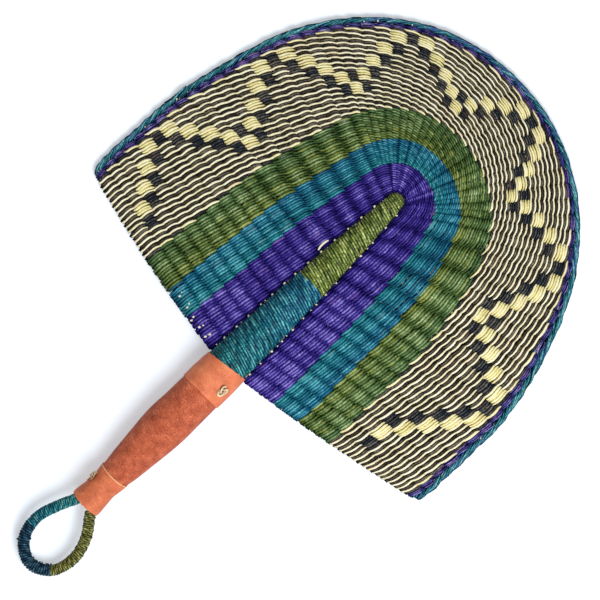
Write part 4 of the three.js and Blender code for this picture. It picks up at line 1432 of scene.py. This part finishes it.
@dataclass
class SpineWinding:
    """The strand wound round the spine, teal below and green above, closed over its rounded tip.

    Fall and bow are shares of the spine's radius, the dome's end and limit are angles over the tip, and
    the unevenness changes every so many turns.
    """

    shop: Workshop
    pitch: float = 1.92
    thickness: float = 1.7
    fullness: float = 1.13
    steps: int = 24
    first_turn: float = -3.4
    colour_change: float = 79.4
    change_bow: float = 1.0
    teal_past: float = 4.4
    green_before: float = 2.4
    buried: float = 0.4
    fall: float = 0.19
    bow: float = 0.065
    level_from: float = 14.0
    end_spacing: float = 12.0
    dome_end: float = 1.3
    dome_limit: float = 1.45
    clearance: float = 0.85
    side_focus: int = 40
    uneven_every: float = 0.19

    def tilt(self, height: np.ndarray | float, across: np.ndarray | float) -> np.ndarray | float:
        """How far a turn lies above its even height: turns fall to the right, and more steeply there.

        Args:
            height: The turn's even height.
            across: Place across the spine, -1 at its left side to 1 at its right one.

        Returns:
            The rise, negative at the right.
        """
        plan = self.shop.plan
        fade = np.clip((plan.tip_centre + plan.tip_radius - height) / self.level_from, 0, 1)
        radius = plan.spine_radius(np.minimum(height, plan.tip_centre))
        return -radius * fade * (self.fall * across + self.bow * across ** 2)

    def side_shift(self, height: float) -> float:
        """How far a turn moves up or down beside the spine to pass the straws in the nearest hole.

        Args:
            height: The turn's even height.

        Returns:
            The shift, upwards, or none over the dome.
        """
        plan = self.shop.plan
        if height >= plan.tip_centre:
            return 0.0
        holes = [plan.hole_height(k) for k in range(plan.holes)]
        holes = [-self.end_spacing, *holes, plan.tip_centre + self.end_spacing]
        stretch = max(k for k, hole in enumerate(holes) if hole <= height)
        low, high = holes[stretch], holes[stretch + 1]

        def keep_off(number: int) -> float:
            """Half the height that a hole's straws take up, with room for half a strand."""
            pair = plan.pair_spacing / 2 if number > plan.single_holes else 0.0
            return pair + plan.straw_width / 2 + self.clearance

        share = (height - low) / (high - low)
        start, stop = low + keep_off(stretch), high - keep_off(stretch + 1)
        return start + (stop - start) * share - height

    def heights(self, begin: float, step: np.ndarray, below: bool) -> tuple[np.ndarray, np.ndarray]:
        """Height of a strand along its turns, between the straws and no further than the colour change.

        Args:
            begin: Where the strand starts, measured up from the foot.
            step: Turns from there.
            below: Whether its turns close up below the colour change, or else above it.

        Returns:
            The heights, and how far each would have gone past the colour change.
        """
        angle = 2 * math.pi * step
        even = begin + self.pitch * step
        crossing = np.round(step * 2).astype(int)
        sides = begin + self.pitch * np.arange(crossing.max() + 1) / 2
        sides = sides + self.tilt(sides, np.where(np.arange(len(sides)) % 2 == 0, 1.0, -1.0))
        shifts = np.array([self.side_shift(side) for side in sides])
        beside = np.abs(np.cos(angle)) ** self.side_focus
        height = even + self.tilt(even, np.cos(angle)) + shifts[crossing] * beside
        past = height - self.colour_change - self.change_bow * np.sin(angle)
        past = past.clip(0) if below else past.clip(None, 0)
        return height - past, past

    def strand(self, begin: float, end: float, below: bool, seed: int) -> tuple[np.ndarray, ...]:
        """Winds one strand between two lengths along the spine's surface.

        Args:
            begin: Where it starts, measured up from the foot.
            end: Where it ends; past the tip's centre this runs on over the dome.
            below: Whether its turns close up below the colour change, or else above it.
            seed: Seed for its unevenness.

        Returns:
            Its points, the way it faces, and its width and thickness at each point.
        """
        plan = self.shop.plan
        hand = np.random.default_rng(seed)
        turns = (end - begin) / self.pitch
        step = np.arange(int(turns * self.steps) + 1) / self.steps
        angle = 2 * math.pi * step
        height, past = self.heights(begin, step, below)
        dome = np.clip((height - plan.tip_centre) / plan.tip_radius, 0, self.dome_limit)
        radius = np.where(dome > 0, plan.tip_radius, plan.spine_radius(np.minimum(height, plan.tip_centre)))
        places = np.arange(0, turns + 2, self.uneven_every)
        uneven, sway, breadth = (
            np.interp(step, places, hand.normal(0, spread, len(places))) for spread in (0.12, 0.16, 0.12)
        )
        level = radius - self.thickness / 2 + uneven - self.buried * np.abs(past).clip(0, 1.5)
        ring = level * np.cos(dome)
        along = np.minimum(height + sway, plan.tip_centre) + level * np.sin(dome)
        path = np.stack([ring * np.cos(angle), along, plan.axis_height + ring * np.sin(angle)], -1)
        outward = np.stack([
            np.cos(dome) * np.cos(angle), np.sin(dome), np.cos(dome) * np.sin(angle),
        ], -1)
        width = self.pitch * self.fullness * (1 + breadth)
        return tuple(part[None] for part in (path, outward, width, np.full_like(width, self.thickness)))

    def build(self) -> None:
        """Winds both strands."""
        plan, finishes = self.shop.plan, self.shop.finishes
        teal_end, green_start = self.colour_change + self.teal_past, self.colour_change - self.green_before
        top = plan.tip_centre + plan.tip_radius * self.dome_end
        for colour, begin, end, finish, seed in (
            ("teal", self.first_turn, teal_end, finishes.spine_teal, 71),
            ("green", green_start, top, finishes.spine_green, 73),
        ):
            sheet = StrandSheet(f"spine_winding_{colour}")
            parts = self.strand(begin, end, colour == "teal", seed)
            sheet.add_wound(parts, self.steps, seed + 1, (0.88, 0.4))
            self.shop.fit_strands(sheet, finish, f"straw_{colour}", f"spine_wrap_{colour}")


@dataclass
class SpineNubs:
    """The small pale nubs of straw that show where the weft meets the spine, on both faces."""

    shop: Workshop
    big: float = 1.55
    small: float = 1.05
    small_shares: tuple[float, float] = (0.2, 0.45)
    off_middle: float = 2.4

    def build(self) -> None:
        """Sets a nub at each hole and midway between holes, big and small ones in turn."""
        plan = self.shop.plan
        hand = np.random.default_rng(83)
        paths, widths = [], []
        for face, half, side in itertools.product(Face, range(2 * plan.holes - 1), (-1, 1)):
            big = half % 2 == (side < 0)
            low, high = (plan.hole_height(half // 2 + k) for k in (0, 1))
            y = low + (half % 2) * (high - low) / 2 + hand.normal(0.6, 0.7)
            luck, size = hand.random(), hand.uniform(0.85, 1.15)
            if not big and luck > self.small_shares[side > 0]:
                continue
            size *= self.big if big else self.small
            x = plan.spine_radius(y) + plan.gap
            z = plan.axis_height + face.value * self.off_middle
            paths.append([
                [side * (x - 0.3), y - 0.5 * size, z - face.value * 0.9],
                [side * (x + hand.normal(0.1, 0.15)), y + hand.normal(0, 0.3), z],
                [side * (x + 0.1), y + 0.5 * size, z - face.value * 0.7],
            ])
            widths.append([0.8 * size, size, 0.6 * size])
        width = np.array(widths)
        sheet = StrandSheet("spine_nubs")
        rings = rings_along(np.array(paths), UP, width, width, 8)
        sheet.add(rings, tone=hand.random(len(paths)), reach=0.5)
        self.shop.fit_strands(sheet, self.shop.finishes.natural, "straw_natural")


@dataclass
class HangingLoop:
    """The hanging loop at the butt: a straw bundle wound with teal, navy and olive strands.

    Sizes of strands are width and thickness. The navy strand starts below a height, and the olive one
    beyond a place across and above a height, after which a thin binding crosses it the other way.
    """

    shop: Workshop
    mouth: float = -135.6
    start: float = -125.7
    ends: tuple[float, float] = (-4.6, 4.8)
    route: tuple[tuple[float, float], ...] = (
        (-4.9, 5.1), (-6.6, -0.9), (-12.2, -13.9), (-16.2, -29.4), (-11.8, -45.9), (3.0, -54.6),
        (17.3, -46.4), (21.3, -29.4), (16.6, -13.9), (7.2, -0.9), (5.0, 5.1),
    )
    droop: float = 8.5
    radius: float = 4.1
    pitch: float = 1.5
    size: tuple[float, float] = (1.62, 1.9)
    navy_pitch: float = 1.75
    navy_size: tuple[float, float] = (1.9, 2.1)
    navy_lift: float = 0.15
    navy_from: float = -171.0
    olive_from: tuple[float, float] = (10.0, -183.0)
    binding_from: float = 14.0
    binding_pitch: float = -4.4
    binding_size: tuple[float, float] = (0.9, 0.7)
    binding_inset: float = 0.15
    uneven_every: float = 0.3
    frayed_ends: int = 34
    frayed_from: float = 6.0
    bare: float = 9.9
    steps: int = 16
    line: np.ndarray = field(init=False, repr=False)
    length: float = field(init=False)

    def __post_init__(self) -> None:
        """Works out the loop's centre line and its length."""
        self.line = self.centre_line()
        self.length = float(np.linalg.norm(np.diff(self.line, axis=0), axis=1).sum())

    def centre_line(self) -> np.ndarray:
        """Runs a smooth line through the loop's points.

        Returns:
            Closely and evenly spaced points from one end to the other.
        """
        plan = self.shop.plan
        flat = [(self.ends[0], self.start)]
        flat += [(x, self.mouth + y) for x, y in self.route]
        flat += [(self.ends[1], self.start)]
        far = min(y for _, y in flat)
        points = np.array([
            (x, y, plan.axis_height - self.droop * ((y - self.start) / (far - self.start)) ** 2)
            for x, y in flat
        ])
        points = np.concatenate([[2 * points[0] - points[1]], points, [2 * points[-1] - points[-2]]])
        line = []
        for k in range(1, len(points) - 2):
            p0, p1, p2, p3 = points[k - 1:k + 3]
            d0, d1, d2 = (np.linalg.norm(b - a) ** 0.5 for a, b in ((p0, p1), (p1, p2), (p2, p3)))
            into = ((p1 - p0) / d0 - (p2 - p0) / (d0 + d1) + (p2 - p1) / d1) * d1
            out = ((p2 - p1) / d1 - (p3 - p1) / (d1 + d2) + (p3 - p2) / d2) * d1
            t = np.linspace(0, 1, 60, endpoint=False)[:, None]
            line.append(
                p1 + into * t + (-3 * p1 + 3 * p2 - 2 * into - out) * t ** 2
                + (2 * p1 - 2 * p2 + into + out) * t ** 3
            )
        line.append(points[-2:-1])
        rough = np.concatenate(line)
        reach = np.concatenate([[0], np.cumsum(np.linalg.norm(np.diff(rough, axis=0), axis=1))])
        even = np.linspace(0, reach[-1], 1200)
        return np.stack([np.interp(even, reach, rough[:, k]) for k in range(3)], -1)

    def strand(
        self, begin: float, end: float, pitch: float, level: float, size: tuple[float, float], seed: int
    ) -> tuple[np.ndarray, ...]:
        """Winds one strand round the bundle.

        Args:
            begin: Where it starts, measured along the loop.
            end: Where it ends.
            pitch: Distance between turns, negative for the other way round.
            level: Distance of the strand's middle from the loop's centre line.
            size: Width and thickness of the strand.
            seed: Seed for its unevenness.

        Returns:
            Its points, the way it faces, and its width and thickness at each point.
        """
        hand = np.random.default_rng(seed)
        turns = (end - begin) / abs(pitch)
        step = np.arange(int(turns * self.steps) + 1) / self.steps
        where = (begin + abs(pitch) * step) / self.length * (len(self.line) - 1)
        ahead = np.gradient(self.line, axis=0)
        ahead /= np.linalg.norm(ahead, axis=1, keepdims=True)
        index = np.arange(len(self.line))
        point, ahead = (
            np.stack([np.interp(where, index, values[:, k]) for k in range(3)], -1)
            for values in (self.line, ahead)
        )
        side = np.cross(ahead, UP)
        side /= np.linalg.norm(side, axis=1, keepdims=True)
        angle = 2 * math.pi * step * math.copysign(1, pitch)
        outward = side * np.cos(angle)[:, None] + np.cross(side, ahead) * np.sin(angle)[:, None]
        places = np.arange(0, turns + 2, self.uneven_every)
        uneven, breadth = (
            np.interp(step, places, hand.normal(0, spread, len(places))) for spread in (0.09, 0.1)
        )
        path = point + outward * (level + uneven)[:, None]
        width = size[0] * (1 + breadth)
        return tuple(part[None] for part in (path, outward, width, np.full_like(width, size[1])))

    def fray(self, sheet: StrandSheet, begin: float, end: float) -> None:
        """Adds short strand ends that stick out of the winding at the bottom of the loop.

        Args:
            sheet: The sheet of the winding.
            begin: Where they start, measured along the loop.
            end: Where they end.
        """
        hand = np.random.default_rng(97)
        paths = []
        for _ in range(self.frayed_ends):
            place = int(hand.uniform(begin, end) / self.length * (len(self.line) - 1))
            ahead = self.line[place + 1] - self.line[place - 1]
            ahead /= np.linalg.norm(ahead)
            side = np.cross(ahead, UP)
            side /= np.linalg.norm(side)
            turn = hand.normal(0.25, 0.5)
            out = -side * math.cos(turn) * (1 if hand.random() < 0.75 else -1) + UP * math.sin(turn)
            lean = ahead * hand.normal(0, 0.35)
            reach = hand.uniform(0.5, 1.2)
            paths.append([
                self.line[place] + out * (self.radius + rise) + lean * share
                for rise, share in ((-0.9, 0.2), (reach * 0.4, 0.7), (reach, 1.2))
            ])
        width = np.array([1.25, 1.15, 0.75])
        rings = rings_along(np.array(paths), UP, width, width * 0.8)
        sheet.add(rings, tone=hand.random(len(paths)), reach=0.5)

    def build(self) -> None:
        """Winds the loop: teal down the left leg, navy round the bottom, olive up the right leg."""
        finishes = self.shop.finishes
        reach = np.linspace(0, self.length, len(self.line))
        navy_from = float(reach[self.line[:, 1] < self.navy_from].min())
        right = (self.line[:, 0] > self.olive_from[0]) & (self.line[:, 1] > self.olive_from[1])
        navy_to = float(reach[right].min())
        end = self.length - self.bare
        level = self.radius - self.size[1] / 2
        binding = self.binding_pitch, self.radius - self.binding_inset, self.binding_size
        teal, navy, olive = (StrandSheet(f"loop_winding_{name}") for name in ("teal", "navy", "olive"))
        for sheet, *turns in (
            (teal, self.bare, navy_from, self.pitch, level, self.size, 101),
            (navy, navy_from, navy_to, self.navy_pitch, level + self.navy_lift, self.navy_size, 103),
            (olive, navy_to, end, self.pitch, level, self.size, 107),
            (olive, navy_to + self.binding_from, end, *binding, 109),
        ):
            sheet.add_wound(self.strand(*turns), self.steps, turns[-1] + 500, (0.8, 0.6))
        self.fray(navy, navy_from + self.frayed_from, navy_to)
        self.shop.fit_strands(teal, finishes.loop_teal, "straw_teal", "loop_wrap_teal")
        self.shop.fit_strands(navy, finishes.loop_navy, "straw_teal", "loop_wrap_teal")
        self.shop.fit_strands(olive, finishes.loop_olive, "straw_green", "loop_wrap_green")


# Handle

CENTIMETRE = 10
RUMPLE_WAVES = 18
RAGGED_WAVES = ((0.14, 17), (0.1, 41))
SMOOTHED_OVER = (-0.06, -0.03, 0.03, 0.06)


def select_none() -> None:
    """Leaves edit mode and clears the selection."""
    if bpy.context.object and bpy.context.object.mode != "OBJECT":
        bpy.ops.object.mode_set(mode="OBJECT")
    bpy.ops.object.select_all(action="DESELECT")


def pick(piece: bpy.types.Object, edges: Callable[[bmesh.types.BMEdge], bool]) -> None:
    """Selects edges of a piece in edit mode by a test.

    Args:
        piece: The object that is being edited.
        edges: The test that an edge must pass.
    """
    shape = bmesh.from_edit_mesh(piece.data)
    for edge in shape.edges:
        edge.select_set(bool(edges(edge)))
    bmesh.update_edit_mesh(piece.data)


def read_all(parts: bpy.types.bpy_prop_collection, name: str, width: int = 1) -> np.ndarray:
    """Reads one value of all vertices, corners or faces of a mesh.

    Args:
        parts: The vertices, corners or faces.
        name: Name of the value.
        width: How many numbers the value has; a single one is read as a whole number.

    Returns:
        The values, one row for each part where they have more than one number.
    """
    values = np.zeros(len(parts) * width, float if width > 1 else int)
    parts.foreach_get(name, values)
    return values.reshape(-1, width) if width > 1 else values


@dataclass
class LeatherSleeve:
    """A leather cover drawn over the handle, glued in a lapped seam at the back."""

    shop: Workshop
    name: str
    node: str
    slot: str
    top: float
    length: float
    radii: tuple[tuple[float, float], ...]
    top_dip: float = 0.0
    top_slant: float = 0.0
    mouth_dip: float = 0.0
    mouth_slant: float = 0.0
    back_share: float = 0.3
    wall: float = 1.3
    rounding: float = 0.4
    columns: int = 96
    row: float = 1.6
    first_radius: float = 10.0
    lap: float = 0.55
    lap_angle: float = -2.2
    lap_breadth: float = 0.9
    seam_depth: float = 0.2
    seam_angle: float = 6.1
    rumple: float = 0.35
    seed: int = 1

    def edge_shift(self, angle: np.ndarray | float, dip: float, slant: float) -> np.ndarray | float:
        """How far an edge rises at angles from the right: it dips on top and slants up to the right."""
        return -dip * np.maximum(np.sin(angle), -self.back_share) + slant * np.cos(angle)

    def draw(self) -> bpy.types.Object:
        """Draws the sleeve from a tube: rows cut, shaped row by row, then given its wall and edges.

        Returns:
            The finished piece.
        """
        middle = (self.top - self.length / 2) / METRE + self.shop.foot
        select_none()
        bpy.ops.mesh.primitive_cylinder_add(
            vertices=self.columns, radius=self.first_radius / METRE, depth=self.length / METRE,
            end_fill_type="NOTHING", location=(0, middle, self.shop.plan.axis_height / METRE),
            rotation=(-math.pi / 2, 0, 0),
        )
        piece = bpy.context.object
        piece.name = piece.data.name = self.name
        bpy.ops.object.transform_apply(location=True, rotation=True, scale=True)
        bpy.ops.object.mode_set(mode="EDIT")
        bpy.ops.mesh.select_mode(type="EDGE")
        long = 0.5 * self.length / METRE
        pick(piece, lambda edge: abs(edge.verts[0].co.y - edge.verts[1].co.y) > long)
        bpy.ops.mesh.subdivide(number_cuts=max(4, int(self.length / self.row)) - 1)
        bpy.ops.mesh.select_all(action="SELECT")
        bpy.ops.mesh.normals_make_consistent(inside=False)
        bpy.ops.object.mode_set(mode="OBJECT")
        self.shape(piece)
        wall = piece.modifiers.new("wall", "SOLIDIFY")
        wall.thickness, wall.offset, wall.use_even_offset = self.wall / METRE, -1.0, True
        edge = piece.modifiers.new("edge", "BEVEL")
        edge.width, edge.segments, edge.limit_method = self.rounding / METRE, 3, "ANGLE"
        edge.angle_limit = math.radians(55)
        for modifier in list(piece.modifiers):
            bpy.ops.object.modifier_apply(modifier=modifier.name)
        bpy.ops.object.shade_smooth_by_angle(angle=math.radians(60))
        self.map_hide(piece)
        return piece

    def radius(self, angle: np.ndarray, share: np.ndarray) -> np.ndarray:
        """Radius of the sleeve, with its lap and its rumples.

        Args:
            angle: Angle round the handle.
            share: Share of the way from the sleeve's top to its mouth.

        Returns:
            The radius at each place.
        """
        shares, radii = zip(*self.radii)
        smooth = np.interp(share, shares, radii)
        for away in SMOOTHED_OVER:
            smooth = smooth + np.interp(np.clip(share + away, 0, 1), shares, radii)
        radius = smooth / (len(SMOOTHED_OVER) + 1)
        behind = np.mod(angle - self.lap_angle, 2 * math.pi)
        radius = radius + self.lap * np.clip(1 - behind / self.lap_breadth, 0, 1)
        radius = radius - self.seam_depth * (behind > self.seam_angle)
        hand = np.random.default_rng(self.seed)
        for _ in range(RUMPLE_WAVES):
            turns, waves = hand.integers(0, 5), hand.uniform(0.2, 3.0)
            phase = hand.uniform(0, 2 * math.pi, 2)
            wave = np.cos(turns * angle + phase[0]) * np.cos(waves * share * 2 * math.pi + phase[1])
            radius = radius + self.rumple / 6 * wave * hand.uniform(0.3, 1.0)
        return radius

    def shape(self, piece: bpy.types.Object) -> None:
        """Gives each row its radius and slopes the edges.

        Args:
            piece: The cut tube.
        """
        home = np.array([0.0, self.shop.foot * METRE, self.shop.plan.axis_height])
        place = read_all(piece.data.vertices, "co", 3) * METRE - home
        angle = np.arctan2(place[:, 2], place[:, 0])
        share = np.clip((self.top - place[:, 1]) / self.length, 0, 1)
        radius = self.radius(angle, share)
        ragged = sum(
            size * np.sin(angle * waves + k * self.seed) for k, (size, waves) in enumerate(RAGGED_WAVES, 1)
        )
        top = self.edge_shift(angle, self.top_dip, self.top_slant) + ragged
        mouth = self.edge_shift(angle, self.mouth_dip, self.mouth_slant) + ragged
        y = self.top - share * self.length + top * (1 - share) ** 2 + mouth * share ** 2
        z = radius * np.sin(angle) + self.shop.plan.axis_height
        placed = np.stack([radius * np.cos(angle), y, z], 1) / METRE
        placed[:, 1] += self.shop.foot
        piece.data.vertices.foreach_set("co", placed.reshape(-1))
        piece.data.update()

    def map_hide(self, piece: bpy.types.Object) -> None:
        """Maps the hide in centimetres, round the handle and along it.

        Args:
            piece: The piece to map.
        """
        def bearing(points: np.ndarray) -> np.ndarray:
            """Angle of points round the handle."""
            return np.arctan2(points[:, 2] - self.shop.plan.axis_height / METRE, points[:, 0])

        mesh = piece.data
        while mesh.uv_layers:
            mesh.uv_layers.remove(mesh.uv_layers[0])
        layer = mesh.uv_layers.new(name="hide")
        place = read_all(mesh.vertices, "co", 3)
        loops = read_all(mesh.loops, "vertex_index")
        home = np.repeat(bearing(read_all(mesh.polygons, "center", 3)), read_all(mesh.polygons, "loop_total"))
        turn = bearing(place)[loops]
        turn = turn - 2 * math.pi * np.round((turn - home) / (2 * math.pi))
        widest = max(radius for _, radius in self.radii) / CENTIMETRE
        uv = np.stack([turn * widest, place[loops, 1] * METRE / CENTIMETRE], 1)
        layer.data.foreach_set("uv", uv.reshape(-1))


@dataclass
class StrawKnot:
    """A straw knot tied flat on a collar: three turns that cross and two short tails."""

    shop: Workshop
    name: str
    node: str
    place: tuple[float, float]
    collar_radius: float
    shape: tuple[float, float]
    seed: int
    seat: float = 1.05
    steps: int = 49
    size: float = 1.75
    growth: float = 0.2
    straw: float = 0.72
    tail: float = 0.7
    tail_leans: tuple[float, ...] = (-0.9, 0.5)

    def crossing_turn(self, number: int, hand: np.random.Generator) -> np.ndarray:
        """One turn of the knot, drawn flat.

        Args:
            number: Number of the turn; the later ones are larger and lie higher.
            hand: Source of its unevenness.

        Returns:
            Its points.
        """
        t = np.linspace(0, 4 * math.pi, self.steps)
        size = self.size + self.growth * number
        weave, spin = 1.5 * t + 0.35 * number, t + 0.4 * number
        bulge = (2 + np.cos(weave)) * 0.5 * size
        drawn = np.stack([
            bulge * np.cos(spin), 1.12 * bulge * np.sin(spin),
            size * 0.5 * np.sin(weave) * 0.8 + 0.12 * number,
        ], 1) * np.array([*self.shape, 1.0])
        drawn = drawn + 0.22 * np.sin(t[:, None] * 0.7 + hand.uniform(0, 6, (1, 3)))
        return drawn + hand.normal(0, 0.06, (self.steps, 3))

    def build(self) -> None:
        """Ties the knot and fits it."""
        hand = np.random.default_rng(self.seed)
        sheet = StrandSheet(self.name)
        tilt = math.asin(self.place[0] / self.collar_radius)
        turn = np.array([
            [math.cos(tilt), 0, math.sin(tilt)], [0, 1, 0], [-math.sin(tilt), 0, math.cos(tilt)],
        ])
        seat = np.array([math.sin(tilt), 0, math.cos(tilt)]) * (self.collar_radius + self.seat)
        home = seat + np.array([0, self.place[1], self.shop.plan.axis_height])

        def lay(drawn: np.ndarray, width: float, flatness: float) -> None:
            """Lays one straw on the collar."""
            rings = rings_along((drawn @ turn.T + home)[None], turn @ UP, width, width * flatness)
            sheet.add(rings, tone=hand.random(1), reach=0.5)

        for number in range(3):
            lay(self.crossing_turn(number, hand), self.straw, 0.9)
        for lean in self.tail_leans:
            along = np.linspace(0, 1, 5)[:, None]
            lay(np.array([0.5, -0.6, -0.4]) + along * np.array([1.8 * lean, -2.6, -0.2]), self.tail, 0.8)
        self.shop.fit_strands(sheet, self.shop.finishes.knot, "straw_natural", self.node)


@dataclass
class Handle:
    """The leather-covered handle with its two collars, the cut edge and the straw knots."""

    shop: Workshop
    cut_inset: float = 0.15
    cut_rise: float = 0.1
    cut_radius: float = 0.32

    def sleeves(self) -> LeatherSleeve:
        """Draws the upper collar, the grip and the lower collar.

        Returns:
            The lower collar.
        """
        finishes = self.shop.finishes
        upper = LeatherSleeve(
            self.shop, "upper_collar_leather", "collar_upper", "leather_orange", top=0.3, length=25.5,
            radii=((0, 15.6), (0.5, 16.3), (1, 16.2)), top_slant=2.3, mouth_slant=0.3, wall=0.6, seed=5,
        )
        grip = LeatherSleeve(
            self.shop, "grip_leather_cover", "grip_leather", "leather_terracotta", top=-24.3, length=82.9,
            radii=((0, 15.35), (0.08, 15.6), (0.35, 16.2), (0.6, 14.8), (0.77, 13.3), (0.9, 11.9), (1, 10.7)),
            mouth_dip=2.6, rumple=0.45, seed=8,
        )
        lower = LeatherSleeve(
            self.shop, "lower_collar_leather", "collar_lower", "leather_orange", top=-106.5, length=27.8,
            radii=((0, 11.5), (0.42, 10.1), (0.93, 11.65), (1, 11.4)),
            top_dip=2.5, top_slant=0.2, mouth_dip=2.2, wall=0.6, seed=14,
        )
        for sleeve, finish in (
            (upper, finishes.collar), (grip, finishes.grip), (lower, finishes.butt_collar),
        ):
            self.shop.fit(sleeve.draw(), finish, sleeve.slot, sleeve.node)
        return lower

    def cut_edge(self, sleeve: LeatherSleeve) -> None:
        """Lays the pale cut edge of a collar, a thin ring that follows its sloping top.

        Args:
            sleeve: The collar.
        """
        shop = self.shop
        axis = shop.plan.axis_height / METRE
        select_none()
        bpy.ops.mesh.primitive_torus_add(
            major_radius=(sleeve.radii[0][1] - self.cut_inset) / METRE, minor_radius=self.cut_radius / METRE,
            major_segments=sleeve.columns, minor_segments=8,
            location=(0, (sleeve.top + self.cut_rise) / METRE + shop.foot, axis),
            rotation=(math.pi / 2, 0, 0),
        )
        ring = bpy.context.object
        ring.name = ring.data.name = "collar_cut_edge"
        bpy.ops.object.transform_apply(location=True, rotation=True, scale=True)
        for vertex in ring.data.vertices:
            angle = math.atan2(vertex.co.z - axis, vertex.co.x)
            vertex.co.y += float(sleeve.edge_shift(angle, sleeve.top_dip, sleeve.top_slant)) / METRE
        ring.data.shade_smooth()
        sleeve.map_hide(ring)
        shop.fit(ring, shop.finishes.cut_edge, "leather_orange")

    def build(self) -> None:
        """Builds the whole handle."""
        self.cut_edge(self.sleeves())
        StrawKnot(self.shop, "upper_knot", "stitch_upper", (9.8, -14.0), 16.2, (1.0, 1.2), 121).build()
        StrawKnot(self.shop, "lower_knot", "stitch_lower", (-9.2, -117.4), 10.2, (0.8, 1.3), 127).build()


@dataclass
class StrawCore:
    """The undyed straws that are carried over as packed: stakes, core bundle and loop core."""

    shop: Workshop

    def build(self, nodes: Mapping[str, bpy.types.Object]) -> None:
        """Gives every carried-over straw its finish.

        Args:
            nodes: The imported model's objects by name.
        """
        stakes = [f"stake_{k:02d}" for k in range(1, self.shop.plan.side_straws + 1)]
        names = [*stakes, "core_bundle", "loop_core"]
        for name in names:
            nodes[name].data.materials.clear()
            nodes[name].data.materials.append(self.shop.dye(self.shop.finishes.bare))
        log.info("%d straws keep their packed shape", len(names))


# Picture


@dataclass
class Studio:
    """The white table, the soft light from the fan's right and the camera straight above, in metres."""

    foot: float
    centre: tuple[float, float] = (0.0026, 0.067)
    frame: float = 0.409
    distance: float = 8.0
    sharp_height: float = 0.008
    sensor: float = 36.0
    turn: float = math.atan2(0.7169, 0.6972)
    table_size: float = 6.0
    table_drop: float = 0.0002
    cloth: Tint = (228, 237, 247)
    glow: Tint = (250, 252, 255)
    glow_strength: float = 0.35
    lamp_place: tuple[float, float, float] = (0.85, -0.28, 1.5)
    lamp_side: float = 0.9
    lamp_power: float = 25.5
    room_strength: float = 0.4

    def table(self) -> None:
        """Lays the white table top, which keeps the fan's shadow."""
        select_none()
        bpy.ops.mesh.primitive_grid_add(
            x_subdivisions=4, y_subdivisions=4, size=self.table_size, location=(0, 0, -self.table_drop),
        )
        top = bpy.context.object
        top.name = top.data.name = "table_top"
        bench = Bench("white_table")
        seen = bench.node("ShaderNodeLightPath", output="Is Camera Ray")
        cloth = bench.node("ShaderNodeBsdfDiffuse", {}, {"Color": shade(*self.cloth)})
        light = {"Color": shade(*self.glow), "Strength": seen * self.glow_strength}
        glow = bench.node("ShaderNodeEmission", {}, light)
        bench.end_in(bench.node("ShaderNodeAddShader", {}, {0: cloth, 1: glow}))
        top.data.materials.append(bench.material)

    def light(self) -> None:
        """Hangs one broad lamp to the right of the fan and fills the rest from a white room."""
        lamp = bpy.data.lights.new("window", "AREA")
        lamp.shape, lamp.size, lamp.size_y = "RECTANGLE", self.lamp_side, self.lamp_side
        lamp.energy = self.lamp_power
        hung = bpy.data.objects.new("window", lamp)
        hung.location = self.lamp_place
        x, y, z = self.lamp_place
        hung.rotation_euler = (math.atan2(math.hypot(x, y), z), 0.0, math.atan2(-x, y) - math.pi)
        bpy.context.scene.collection.objects.link(hung)
        world = bpy.data.worlds.new("white_room")
        bpy.context.scene.world = world
        world.use_nodes = True
        room = world.node_tree.nodes["Background"].inputs
        room["Color"].default_value = (1, 1, 1, 1)
        room["Strength"].default_value = self.room_strength

    def camera(self) -> None:
        """Sets the camera above the fan, turned as the fan lies in the photograph."""
        data = bpy.data.cameras.new("camera")
        data.sensor_width = self.sensor
        data.lens = self.sensor * (self.distance - self.sharp_height) / self.frame
        data.clip_end = 50.0
        made = bpy.data.objects.new("camera", data)
        made.location = (self.centre[0], self.centre[1] + self.foot, self.distance)
        made.rotation_euler = (0.0, 0.0, self.turn)
        bpy.context.scene.collection.objects.link(made)
        bpy.context.scene.camera = made

    def build(self) -> None:
        """Sets up the whole picture."""
        self.table()
        self.light()
        self.camera()
        bpy.context.scene.view_settings.view_transform = "Standard"


def main() -> None:
    """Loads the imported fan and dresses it."""
    logging.basicConfig(level=logging.INFO, format="%(message)s")
    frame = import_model()
    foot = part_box("collar_upper")[1].y + COLLAR_BELOW_FOOT / METRE
    Studio(foot).build()
    shop = Workshop(FanPlan(), FanFinishes(), foot)
    blade = Blade(shop)
    blade.build()
    Edging(shop).build()
    blade.foot_tips()
    SpineWinding(shop).build()
    SpineNubs(shop).build()
    Handle(shop).build()
    HangingLoop(shop).build()
    StrawCore(shop).build(frame["nodes"])


if __name__ == "__main__":
    main()
